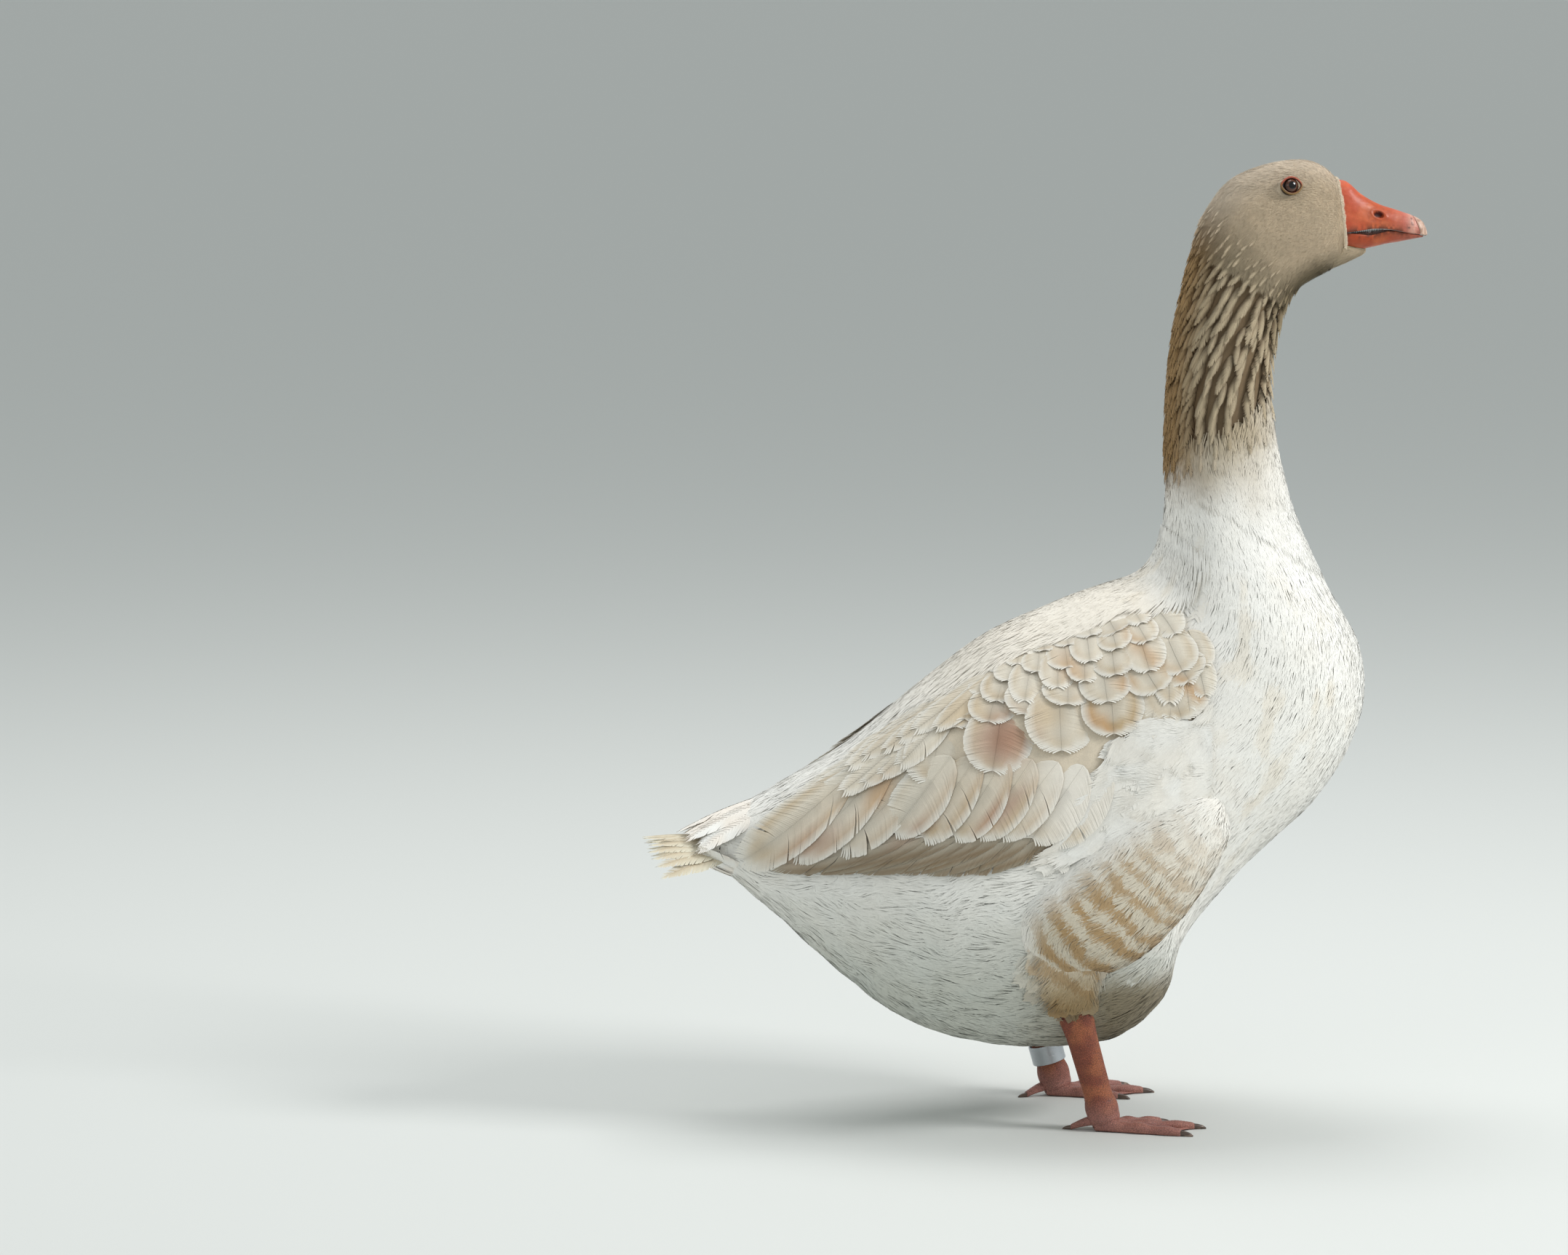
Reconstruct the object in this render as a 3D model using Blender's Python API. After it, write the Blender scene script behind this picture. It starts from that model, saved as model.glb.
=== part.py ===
"""A standing buff goose, life size, parted where a person would name its parts.

The bird faces +X, its left side is +Y and it stands on the floor at z = 0. Sizes are in metres.
The trunk, neck and head are one form, carried along the bird from tail root to bill and cut into
three by thin plane gaps. Wings, tail, thighs, legs and feet grow from that form.
"""

import math

import bmesh
import bpy
import numpy as np
from mathutils import Vector
from mathutils.bvhtree import BVHTree

# Air between two neighbours, and how far a neighbour's space is grown before it is cut away
GAP = 0.0003
GROW = 0.00036
FULL_TURN = 2 * math.pi

# Finishes: colour in sRGB from 0 to 255, roughness, and whether it is metal
FINISHES = {
    "white_plumage": ((236, 231, 222), 0.85, 0.0),
    "buff_plumage": ((200, 178, 148), 0.85, 0.0),
    "wing_plumage": ((217, 203, 180), 0.8, 0.0),
    "bill_skin": ((217, 96, 60), 0.45, 0.0),
    "nail_horn": ((207, 174, 148), 0.4, 0.0),
    "leg_skin": ((170, 88, 64), 0.55, 0.0),
    "foot_skin": ((186, 122, 104), 0.6, 0.0),
    "claw_horn": ((120, 92, 76), 0.5, 0.0),
    "eye": ((58, 32, 26), 0.1, 0.0),
    "ring_metal": ((150, 152, 154), 0.45, 1.0),
}

# The form from tail root to bill base. Each row is one cross-section: its top point (x, z), its
# underside point (x, z), half its width, and the share of the way down at which it is widest.
SECTIONS = np.array([
    (-0.2555, 0.2347, -0.2459, 0.1997, 0.0260, 0.50),  # 0 tail root
    (-0.2147, 0.2551, -0.2022, 0.1618, 0.0480, 0.50),  # 1 vent
    (-0.1438, 0.2934, -0.1533, 0.1143, 0.0780, 0.52),  # 2 rump
    (-0.0890, 0.3355, -0.1010, 0.0732, 0.1020, 0.53),  # 3 paunch
    (-0.0340, 0.3745, -0.0300, 0.0527, 0.1160, 0.53),  # 4 loins
    (0.0179, 0.3975, 0.0540, 0.0565, 0.1190, 0.52),  # 5 back
    (0.0370, 0.4050, 0.0985, 0.0890, 0.1190, 0.52),  # 6 belly before the legs
    (0.0547, 0.4107, 0.1165, 0.1385, 0.1160, 0.51),  # 7 mantle
    (0.0780, 0.4186, 0.1625, 0.1929, 0.1100, 0.50),  # 8 shoulders
    (0.0905, 0.4277, 0.2249, 0.2524, 0.1040, 0.50),  # 9 breast
    (0.0973, 0.4424, 0.2561, 0.3120, 0.0960, 0.50),  # 10 front of the breast
    (0.1012, 0.4651, 0.2555, 0.3658, 0.0800, 0.50),  # 11 neck root
    (0.1030, 0.4963, 0.2289, 0.4169, 0.0600, 0.50),  # 12 neck root
    (0.1025, 0.5275, 0.2022, 0.4765, 0.0460, 0.50),  # 13 lower neck
    (0.1040, 0.5701, 0.1868, 0.5417, 0.0390, 0.50),  # 14 neck
    (0.1075, 0.6069, 0.1846, 0.5786, 0.0360, 0.50),  # 15 neck
    (0.1140, 0.6409, 0.1892, 0.6098, 0.0345, 0.50),  # 16 upper neck
    (0.1216, 0.6726, 0.1960, 0.6324, 0.0335, 0.50),  # 17 nape and throat
    (0.1318, 0.7043, 0.2051, 0.6455, 0.0325, 0.54),  # 18 back of the head
    (0.1497, 0.7287, 0.2164, 0.6529, 0.0315, 0.58),  # 19 cheeks
    (0.1777, 0.7414, 0.2277, 0.6585, 0.0300, 0.60),  # 20 crown
    (0.2060, 0.7453, 0.2300, 0.6600, 0.0280, 0.58),  # 21 forehead
    (0.2235, 0.7402, 0.2370, 0.6655, 0.0235, 0.57),  # 22 lores
    (0.2345, 0.7303, 0.2400, 0.6716, 0.0185, 0.56),  # 23 bill base
])
NECK_CUT = 12.3
HEAD_CUT = 17.3
LAST_SECTION = len(SECTIONS) - 1.0
FORM_SIDES = 32

# Groove along the middle of the paunch: depth as a share of the height, section, reach in sections and round
GROOVE_DEPTH, GROOVE_AT, GROOVE_LENGTH, GROOVE_WIDTH = 0.045, 3.2, 1.5, 0.24

# Neck furrows: ridges of feathers that lean back as they run down
RIDGE_COUNT = 13
RIDGE_HEIGHT = 0.0026
RIDGE_LEAN = 0.16
RIDGE_LEVEL = 15.0
RIDGE_START, RIDGE_RISE, RIDGE_END, RIDGE_FALL = 13.0, 1.2, 17.6, 0.8

# Eye and lid. The eye's own frame has its axis out through the pupil, slightly forward.
EYE_CENTRE = (0.1935, 0.0226, 0.7255)
EYE_RADIUS = 0.0070
EYE_FRAME = np.array([(0.982, -0.186, 0.0), (0.182, 0.963, 0.199), (-0.037, -0.195, 0.980)])
LID_RADIUS = 0.0066
LID_THICKNESS = 0.0014
LID_DEPTH = 0.0046
LID_LONG, LID_HIGH = 1.08, 0.94
POLE = 0.16

# Bill: x against the height of the ridge, of the mouth line and of the underside, and half widths
BILL_BASE_TOP = (0.2345, 0.7303)
BILL_BASE_LOW = (0.2400, 0.6716)
BILL_TIP = 0.3059
NAIL_START = 0.2962
CULMEN = ((0.234, 0.7300), (0.2415, 0.7284), (0.2515, 0.7200), (0.2665, 0.7113), (0.283, 0.7058),
          (0.296, 0.7008), (0.3030, 0.6958), (0.3062, 0.6912))
TOMIUM = ((0.234, 0.6893), (0.2536, 0.6911), (0.2727, 0.6917), (0.2919, 0.6883), (0.3062, 0.6866))
LOWER_BILL = ((0.234, 0.6772), (0.2548, 0.6766), (0.2727, 0.6798), (0.2919, 0.6832), (0.3025, 0.6852))
BILL_HALF_WIDTH = ((0.234, 0.0172), (0.245, 0.0165), (0.262, 0.0140), (0.280, 0.0122), (0.294, 0.0114),
                   (0.3015, 0.0088), (0.3062, 0.0042))
MOUTH_GAP = ((0.234, 0.0004), (0.246, 0.0020), (0.266, 0.0022), (0.278, 0.0006), (0.3025, 0.0005))
MOUTH_CORNER = 0.262
DOME_WIDE, DOME_HIGH = 0.7, 0.75
LOWER_SHARE = 0.9
LOWER_TIP_BACK = 0.0042

# Nostril: its place, half sizes along and up, slope, and its sections as depth and share of the size
NOSTRIL = (0.2655, 0.0110, 0.7032)
NOSTRIL_HALF = (0.0040, 0.0019)
NOSTRIL_SLOPE, NOSTRIL_SKEW = -0.38, 0.25
NOSTRIL_SECTIONS = ((-0.006, 0.3), (-0.004, 1.0), (0.004, 1.0))

# Folded wing: x, then the degrees down from the top of the trunk where it begins and ends
SPINE = ((0.12, 0.27), (-0.26, 0.215))
WING_EDGE = ((-0.236, 92.0, 112.0), (-0.205, 52.0, 110.0), (-0.165, 24.0, 108.0), (-0.12, 13.0, 107.5),
             (-0.05, 8.0, 107.0), (0.02, 8.0, 103.0), (0.062, 9.0, 90.0), (0.09, 13.0, 78.0),
             (0.118, 42.0, 62.0))
WING_SINK = 0.004
WING_SKIN = 0.0012
SPINE_REACH = 0.012
WING_HEIGHT = ((-0.236, 0.004), (-0.16, 0.008), (0.04, 0.0125), (0.118, 0.004))

# Tiers of vanes on the wing, upper ones last. Each tier runs from a first vane to a last one: root and
# tip as x and degrees of the first, the same of the last, how many, half width, and rise at the tip.
WING_TIERS = (
    ("flight", (0.045, 97.0, -0.035, 105.5), (-0.090, 93.0, -0.190, 105.0), 4, 0.0150, 0.0012),
    ("greater", (0.032, 85.0, 0.002, 103.0), (-0.070, 57.0, -0.122, 90.5), 6, 0.0165, 0.0026),
    ("tertial", (-0.082, 60.0, -0.148, 94.0), (-0.108, 38.0, -0.233, 106.0), 4, 0.0185, 0.0042),
    ("rump", (-0.080, 32.0, -0.192, 56.0), (-0.070, 17.0, -0.178, 30.0), 2, 0.0165, 0.0040),
    ("median", (0.040, 45.0, 0.045, 70.0), (-0.098, 32.0, -0.110, 60.0), 5, 0.0215, 0.0050),
    ("lesser", (0.080, 30.0, 0.085, 50.0), (-0.045, 22.0, -0.056, 45.0), 4, 0.0205, 0.0050),
    ("shoulder", (0.082, 17.0, 0.090, 32.0), (0.000, 12.0, 0.000, 29.0), 3, 0.0185, 0.0046),
    ("bend", (0.104, 44.0, 0.108, 60.0), (0.082, 46.0, 0.078, 68.0), 2, 0.0150, 0.0044),
    ("scapular", (-0.028, 12.0, -0.075, 21.0), (-0.090, 19.0, -0.148, 34.0), 3, 0.0145, 0.0052),
    ("scapular", (-0.035, 25.0, -0.082, 38.0), (-0.085, 28.0, -0.135, 47.0), 3, 0.0145, 0.0048),
)
LONG_VANE = ((0.0, 0.55), (0.36, 0.92), (0.68, 1.0), (0.90, 0.68), (1.0, 0.26))
SHORT_VANE = ((0.0, 0.60), (0.50, 1.0), (0.84, 0.78), (1.0, 0.28))
SHORT_TIERS = ("median", "lesser", "shoulder", "bend", "scapular")
VANE_EDGE = 0.0007
VANE_MIDDLE = 0.0018
VANE_ROLL = 0.09
VANE_TIP = 0.0004
VANE_ARCH = 0.09
VANE_ROOT_SINK = 0.0014
VANE_STEP = 0.0003

# Tail fan: root and tip of the middle vane as (x, z), and how the outermost one differs
TAIL_COUNT = 12
TAIL_ROOT = (-0.2570, 0.2225)
TAIL_TIP = (-0.3075, 0.2225)
TAIL_OUTER_ROOT = (-0.2570, 0.0205, 0.2150)
TAIL_OUTER_TIP = (-0.2990, 0.0540, 0.1990)
TAIL_HALF_WIDTH = 0.0115
TAIL_UNEVEN = 0.0024
TAIL_LAYER = 0.0007

# Root of the tail: where it starts, how far it reaches back and down, and its sections as share, half
# width and half height. Its sides hang down by the bow times the square of the distance from the middle.
TAIL_STUB = (-0.2507, 0.2170)
TAIL_STUB_REACH = (-0.0330, -0.0050)
TAIL_STUB_SIZES = ((0.25, 0.0275, 0.0150), (0.6, 0.0290, 0.0095), (1.0, 0.0270, 0.0040))
TAIL_STUB_BOW = 9.0
TAIL_STUB_SLOPE = (-0.12, 0.0, 0.993)
TAIL_SIDES = 20

# The coverts over the tail's root: root and tip of the outer ones, the tip's drop, and half width
COVERT_ROOT = (-0.2535, 0.010, 0.2300)
COVERT_TIP = (-0.2850, 0.020, 0.2270)
COVERT_DROP = 0.003
COVERT_HALF_WIDTH = 0.0125

# Legs. The right leg stands forward, the left one this much behind it.
LEG_SPREAD = 0.072
FOOT_JOINT = (0.0437, 0.0205)
ANKLE = (0.0215, 0.0990)
LEFT_LEG_BACK = 0.017
LEG_SIZES = ((0.0, 0.0150, 0.0105), (0.12, 0.0138, 0.0090), (0.28, 0.0122, 0.0075), (0.55, 0.0114, 0.0069),
             (0.80, 0.0111, 0.0072), (0.92, 0.0113, 0.0086), (1.0, 0.0124, 0.0095))
THIGH_PATH = ((0.130, 0.088, 0.268, 0.012, 0.72), (0.114, 0.091, 0.252, 0.033, 0.72),
              (0.078, 0.095, 0.216, 0.047, 0.74), (0.040, 0.095, 0.182, 0.051, 0.80),
              (0.008, 0.091, 0.152, 0.046, 1.05))
THIGH_FLAT = 0.78
THIGH_FOLLOWS = 0.6
THIGH_END = ((-0.018, 0.0235, 0.0205), (0.0, 0.0175, 0.0135))

# Toes: name, length, and heading from straight ahead, outwards positive; then sizes along a toe
HEEL_BACK = 0.0030
TOES = (("middle", 0.0765, 0.02), ("outer", 0.0680, 0.42), ("inner", 0.0575, -0.38))
TOE_SIZES = ((0.0, 0.0070, 0.0130), (0.20, 0.0064, 0.0104), (0.35, 0.0053, 0.0080), (0.50, 0.0060, 0.0086),
             (0.66, 0.0047, 0.0064), (0.80, 0.0052, 0.0068), (1.0, 0.0034, 0.0048))
WEB_EDGE = ((0.0560, -0.38), (0.0575, -0.29), (0.0555, -0.17), (0.0620, -0.06), (0.0745, 0.02),
            (0.0640, 0.11), (0.0590, 0.21), (0.0605, 0.33), (0.0665, 0.42), (0.0220, 0.56),
            (0.0060, 1.60), (0.0060, -1.60), (0.0220, -0.56))
WEB_LEVELS = (0.0008, 0.0030)
TOE_PROFILE = ((-0.8, 0.0), (-1.0, 0.42), (-0.66, 0.84), (0.0, 1.0), (0.66, 0.84), (1.0, 0.42), (0.8, 0.0))
KNOB_SIZES = ((GAP, 0.0125, 0.0095), (0.008, 0.0122, 0.0100), (0.0145, 0.0100, 0.0090))
HIND_LENGTH = 0.0200
HIND_HEADING = 3.45
HIND_SIZES = ((0.0, 0.0045, 0.0085, 0.0045), (0.5, 0.0038, 0.0066, 0.0028), (1.0, 0.0026, 0.0042, 0.0))

# Claws: reach past the toe's end, half width and height of each section
CLAW_SIZES = ((0.0004, 0.0029, 0.0042), (0.0045, 0.0024, 0.0034), (0.0085, 0.0012, 0.0014))
HIND_CLAW_SIZES = ((0.0004, 0.0022, 0.0034), (0.0035, 0.0018, 0.0027), (0.0065, 0.0009, 0.0010))

# Leg ring
RING_INNER = 0.0122
RING_OUTER = 0.0134
RING_HEIGHT = 0.0150
RING_UP = 0.0150
RING_FORWARD = 0.0004


def smooth_rows(rows, at):
    """Rows read between their whole numbers, on a cubic through each row with its neighbours' slope."""
    slopes = np.gradient(rows, axis=0)
    low = np.clip(np.floor(at).astype(int), 0, len(rows) - 2)
    t = (at - low)[..., None]
    p, q, m, n = rows[low], rows[low + 1], slopes[low], slopes[low + 1]
    return (
        (2 * t**3 - 3 * t**2 + 1) * p + (t**3 - 2 * t**2 + t) * m
        + (3 * t**2 - 2 * t**3) * q + (t**3 - t**2) * n
    )


def body_point(s, phi):
    """Point of the form at section number s and angle phi round it, 0 on top and pi underneath."""
    s, phi = np.broadcast_arrays(np.asarray(s, float), np.asarray(phi, float))
    top_x, top_z, low_x, low_z, half_width, widest = np.moveaxis(smooth_rows(SECTIONS, s), -1, 0)
    c = np.cos(phi)
    down = np.where(c > 0, widest * (1 - c), widest - (1 - widest) * c)
    along = np.exp(-((s - GROOVE_AT) / GROOVE_LENGTH) ** 2)
    across = np.exp(-((np.abs(phi) - math.pi) / GROOVE_WIDTH) ** 2)
    down = down - GROOVE_DEPTH * along * across
    return np.stack([
        top_x + (low_x - top_x) * down,
        half_width * np.sin(phi),
        top_z + (low_z - top_z) * down,
    ], -1)


def body_normal(s, phi):
    """Outward direction of the form, from two short steps along it and round it."""
    step = 1e-3
    along = body_point(s + step, phi) - body_point(s - step, phi)
    round_it = body_point(s, phi + step) - body_point(s, phi - step)
    normal = np.cross(round_it, along)
    return normal / np.linalg.norm(normal, axis=-1, keepdims=True)


def material(name, color, roughness, metallic=0.0):
    """A Principled material, with its colour given in sRGB from 0 to 255."""
    made = bpy.data.materials.new(name)
    made.use_nodes = True
    shader = made.node_tree.nodes["Principled BSDF"]
    linear = [(channel / 255) ** 2.2 for channel in color]
    shader.inputs["Base Color"].default_value = (*linear, 1.0)
    shader.inputs["Roughness"].default_value = roughness
    shader.inputs["Metallic"].default_value = metallic
    return made


def solid(name, points, faces, finish=None):
    """An object with this mesh, its faces turned outwards."""
    mesh = bpy.data.meshes.new(name)
    mesh.from_pydata([tuple(p) for p in points], [], [tuple(f) for f in faces])
    work = bmesh.new()
    work.from_mesh(mesh)
    bmesh.ops.recalc_face_normals(work, faces=work.faces)
    work.to_mesh(mesh)
    work.free()
    made = bpy.data.objects.new(name, mesh)
    bpy.context.scene.collection.objects.link(made)
    if finish:
        mesh.materials.append(finish)
    return made


def tube(name, rings, finish=None):
    """A closed solid through rings of points, with a flat cap on each end."""
    count, sides = len(rings), len(rings[0])
    points = np.concatenate(rings)
    faces = [
        (r * sides + j, r * sides + (j + 1) % sides, (r + 1) * sides + (j + 1) % sides, (r + 1) * sides + j)
        for r in range(count - 1)
        for j in range(sides)
    ]
    faces.append(tuple(reversed(range(sides))))
    faces.append(tuple(range((count - 1) * sides, count * sides)))
    return solid(name, points, faces, finish)


def evaluated_mesh(made):
    """The object's mesh with its modifiers applied."""
    bpy.context.view_layer.update()
    graph = bpy.context.evaluated_depsgraph_get()
    return bpy.data.meshes.new_from_object(made.evaluated_get(graph))


def apply_modifiers(made):
    """Turns the object's modifiers into its mesh."""
    mesh = evaluated_mesh(made)
    made.modifiers.clear()
    made.data = mesh


def boolean(made, operation, others, solver="MANIFOLD"):
    """Joins or cuts the object with the others in one step, and removes the others."""
    group = bpy.data.collections.new("operands")
    bpy.context.scene.collection.children.link(group)
    for other in others:
        bpy.context.scene.collection.objects.unlink(other)
        group.objects.link(other)
    modifier = made.modifiers.new(operation, "BOOLEAN")
    modifier.operation = operation
    modifier.operand_type = "COLLECTION"
    modifier.collection = group
    modifier.solver = solver
    apply_modifiers(made)
    for other in others:
        bpy.data.objects.remove(other)
    bpy.data.collections.remove(group)


def keep_largest(made):
    """Drops every loose surface but the one with the most volume."""
    work = bmesh.new()
    work.from_mesh(made.data)
    left = set(work.verts)
    islands = []
    while left:
        stack = [left.pop()]
        island = set(stack)
        while stack:
            for edge in stack.pop().link_edges:
                for vert in edge.verts:
                    if vert in left:
                        left.discard(vert)
                        island.add(vert)
                        stack.append(vert)
        islands.append(island)

    def volume(island):
        """Signed volume of a closed surface: a sixth of the sum of a . (b x c) over its triangles."""
        corners = {face for vert in island for face in vert.link_faces}
        total = 0.0
        for face in corners:
            first = face.verts[0].co
            for a, b in zip(face.verts[1:], face.verts[2:]):
                total += first.dot(a.co.cross(b.co)) / 6
        return total

    islands.sort(key=volume)
    spare = [vert for island in islands[:-1] for vert in island]
    bmesh.ops.delete(work, geom=spare, context="VERTS")
    bmesh.ops.triangulate(work, faces=work.faces)
    work.to_mesh(made.data)
    work.free()


def grown(made, by=GROW):
    """A copy of the object that is larger all round, used to cut its neighbours clear of it."""
    copy = bpy.data.objects.new(made.name + "_grown", made.data.copy())
    bpy.context.scene.collection.objects.link(copy)
    work = bmesh.new()
    work.from_mesh(copy.data)
    work.normal_update()
    moves = {}
    for vert in work.verts:
        move = vert.normal.copy()
        least = min((move.dot(face.normal) for face in vert.link_faces), default=1.0)
        moves[vert] = move * (by / max(least, 0.35))
    for vert, move in moves.items():
        vert.co += move
    work.to_mesh(copy.data)
    work.free()
    return copy


def section_axis(s):
    """Unit direction square to section s, towards the bill."""
    top, side, low = body_point(s, np.array([0.0, math.pi / 2, math.pi]))
    axis = np.cross([0.0, 1.0, 0.0], low - top)
    axis /= np.linalg.norm(axis)
    ahead = body_point(min(s + 0.2, LAST_SECTION), math.pi / 2)
    return axis if axis @ (ahead - side) > 0 else -axis


def section_ring(s, sides, lean=0.0, ridge=0.0):
    """Points round the form at section s. Ridges lie on every fourth point, and lean shifts them back."""
    start = np.arange(sides) * FULL_TURN / sides
    phi = start + lean * np.sin(start)
    ring = body_point(s, phi)
    if ridge:
        axis = section_axis(s)
        out = body_normal(s, phi)
        out = out - (out @ axis)[:, None] * axis
        out /= np.linalg.norm(out, axis=1, keepdims=True)
        ring = ring + out * (ridge * np.cos(np.arange(sides) * math.pi / 2))[:, None]
    return ring


def make_torso(finish):
    """Trunk from the tail root to the root of the neck."""
    stops = np.concatenate([np.linspace(0.0, 10.0, 20), np.linspace(10.5, NECK_CUT, 4)])
    return tube("torso", [section_ring(s, FORM_SIDES) for s in stops], finish)


def furrow_height(s):
    """Height of the neck furrows: none at the breast, full up the neck and low under the cheek."""
    rise = np.clip((s - RIDGE_START) / RIDGE_RISE, 0, 1)
    fall = np.clip((RIDGE_END - s) / RIDGE_FALL, 0, 1)
    return float(RIDGE_HEIGHT * rise * fall)


def make_neck(finish):
    """Neck from the trunk's front end to the cheek, with its furrows."""
    stops = np.linspace(NECK_CUT, HEAD_CUT, 13)
    sides = RIDGE_COUNT * 4
    rings = [section_ring(s, sides, RIDGE_LEAN * (s - RIDGE_LEVEL), furrow_height(s)) for s in stops]
    rings[0] = rings[0] + section_axis(NECK_CUT) * GAP
    return tube("neck", rings, finish)


def make_head(finish):
    """Head with a lid round each eye and a socket behind it."""
    stops = np.linspace(HEAD_CUT, LAST_SECTION, 14)
    rings = [section_ring(s, FORM_SIDES) for s in stops]
    rings[0] = rings[0] + section_axis(HEAD_CUT) * GAP
    head = tube("head", rings, finish)
    boolean(head, "UNION", [lid(side) for side in (1, -1)])
    boolean(head, "DIFFERENCE", [ball("socket", side, EYE_RADIUS + GAP, 16, 9) for side in (1, -1)])
    keep_largest(head)
    return head


def mirrored(points, side):
    """Points written for the bird's left, moved to its right where side is -1."""
    return np.asarray(points) * [1.0, side, 1.0]


def ball(name, side, radius, around, along, finish=None):
    """A ball at the eye's place, with its poles on the eye's own axis."""
    rings = []
    for polar in np.linspace(POLE, math.pi - POLE, along):
        turn = np.arange(around) * FULL_TURN / around
        local = np.stack([
            np.sin(polar) * np.cos(turn), np.full(around, np.cos(polar)), np.sin(polar) * np.sin(turn),
        ], -1)
        rings.append(mirrored(np.array(EYE_CENTRE) + radius * local @ EYE_FRAME, side))
    return tube(name, rings, finish)


def lid(side):
    """The raised ring of bare skin round the eye."""
    rings = []
    for turn in np.arange(16) * FULL_TURN / 16:
        spot = np.array([np.cos(turn) * LID_RADIUS * LID_LONG, 0.0, np.sin(turn) * LID_RADIUS * LID_HIGH])
        out = spot / np.linalg.norm(spot)
        around = np.arange(6) * FULL_TURN / 6
        local = spot + LID_THICKNESS * (np.cos(around)[:, None] * out + np.sin(around)[:, None] * [0, 1, 0])
        local = local + [0.0, LID_DEPTH, 0.0]
        rings.append(mirrored(np.array(EYE_CENTRE) + local @ EYE_FRAME, side))
    return torus("lid", rings)


def torus(name, rings, finish=None):
    """A closed solid through rings of points, with the last ring joined to the first."""
    count, sides = len(rings), len(rings[0])
    faces = [
        (r * sides + j, r * sides + (j + 1) % sides,
         (r + 1) % count * sides + (j + 1) % sides, (r + 1) % count * sides + j)
        for r in range(count)
        for j in range(sides)
    ]
    return solid(name, np.concatenate(rings), faces, finish)


def bill_ring(x, top, low, half_width, flat, base_lean):
    """Cross-section of one half of the bill: a dome on a flat (flat > 0) or a bowl under one."""
    turn = np.linspace(0, math.pi, 11)
    height = (top - low) * np.sin(turn) ** DOME_HIGH
    across = half_width * np.sign(np.cos(turn)) * np.abs(np.cos(turn)) ** DOME_WIDE
    z = low + height if flat > 0 else top - height
    inner_z = np.full(3, low if flat > 0 else top)
    inner_y = half_width * np.array([-0.55, 0.0, 0.55])
    y = np.concatenate([across, inner_y])
    z = np.concatenate([z, inner_z])
    return np.stack([x + base_lean * (BILL_BASE_TOP[1] - z), y, z], -1)


def bill_rows(first, last, count):
    """Positions along the bill, closer together near the tip."""
    return first + (last - first) * np.sin(np.linspace(0, 1, count) * math.pi / 2)


def culmen(x):
    """Height of the bill's ridge."""
    return np.interp(x, *np.transpose(CULMEN))


def tomium(x):
    """Height of the bill's cutting edge, the line of the mouth."""
    return np.interp(x, *np.transpose(TOMIUM))


def make_bill(skin, nail):
    """Upper bill, its nail and the lower bill, parted by the line of the mouth."""
    lean = (BILL_BASE_LOW[0] - BILL_BASE_TOP[0]) / (BILL_BASE_TOP[1] - BILL_BASE_LOW[1])
    base = BILL_BASE_TOP[0] + GAP * 1.2

    def fade(x):
        """How much the section leans with the bill's base, down to nothing past the mouth's corner."""
        return lean * np.clip((MOUTH_CORNER - x) / (MOUTH_CORNER - base), 0, 1)

    def width(x):
        """Half width of the bill."""
        return np.interp(x, *np.transpose(BILL_HALF_WIDTH))

    def upper(x):
        """Section of the upper half."""
        return bill_ring(x, culmen(x), tomium(x), width(x), 1, fade(x))

    def lower(x):
        """Section of the lower half."""
        drop = np.interp(x, *np.transpose(MOUTH_GAP))
        bottom = np.interp(x, *np.transpose(LOWER_BILL))
        return bill_ring(x, tomium(x) - drop, bottom, width(x) * LOWER_SHARE, -1, fade(x))

    top = tube("bill_upper", [upper(x) for x in np.linspace(base, NAIL_START - GAP, 10)], skin)
    tip = tube("bill_nail", [upper(x) for x in bill_rows(NAIL_START, BILL_TIP, 5)], nail)
    low = tube("bill_lower", [lower(x) for x in bill_rows(base, BILL_TIP - LOWER_TIP_BACK, 11)], skin)
    pits = []
    for side in (1, -1):
        turn = np.arange(10) * FULL_TURN / 10
        rings = []
        for depth, size in NOSTRIL_SECTIONS:
            along = NOSTRIL_HALF[0] * size * np.cos(turn)
            up = NOSTRIL_HALF[1] * size * np.sin(turn)
            x = NOSTRIL[0] + along + NOSTRIL_SKEW * up
            z = NOSTRIL[2] + NOSTRIL_SLOPE * along + up
            rings.append(mirrored(np.stack([x, np.full(10, NOSTRIL[1] + depth), z], -1), side))
        pits.append(tube("nostril", rings))
    boolean(top, "DIFFERENCE", pits)
    keep_largest(top)
    return top, tip, low


def hull_tree():
    """The trunk as a fine surface to lay feathers on."""
    s, phi = np.meshgrid(np.linspace(0, 13.6, 200), np.linspace(0, FULL_TURN, 161), indexing="ij")
    points = body_point(s, phi).reshape(-1, 3)
    index = np.arange(len(points)).reshape(s.shape)
    quads = np.stack([index[:-1, :-1], index[:-1, 1:], index[1:, 1:], index[1:, :-1]], -1).reshape(-1, 4)
    return BVHTree.FromPolygons(points.tolist(), quads.tolist())


def hull_point(tree, x, degrees):
    """Point and outward normal of the left of the trunk, at x and at degrees down from the top."""
    held = min(max(x, SPINE[1][0] + SPINE_REACH), SPINE[0][0])
    z = np.interp(held, (SPINE[1][0], SPINE[0][0]), (SPINE[1][1], SPINE[0][1]))
    angle = math.radians(degrees)
    aim = Vector((0.0, math.sin(angle), math.cos(angle)))
    spot, normal, _, _ = tree.ray_cast(Vector((held, 0.0, z)), aim)
    if normal.dot(aim) < 0:
        normal = -normal
    spot = np.array(spot)
    spot[0] += x - held
    return spot, np.array(normal)


def wing_edges(x):
    """Degrees from the top at which the folded wing begins and ends."""
    where, top, low = np.transpose(WING_EDGE)
    return np.interp(x, where, top), np.interp(x, where, low)


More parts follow.
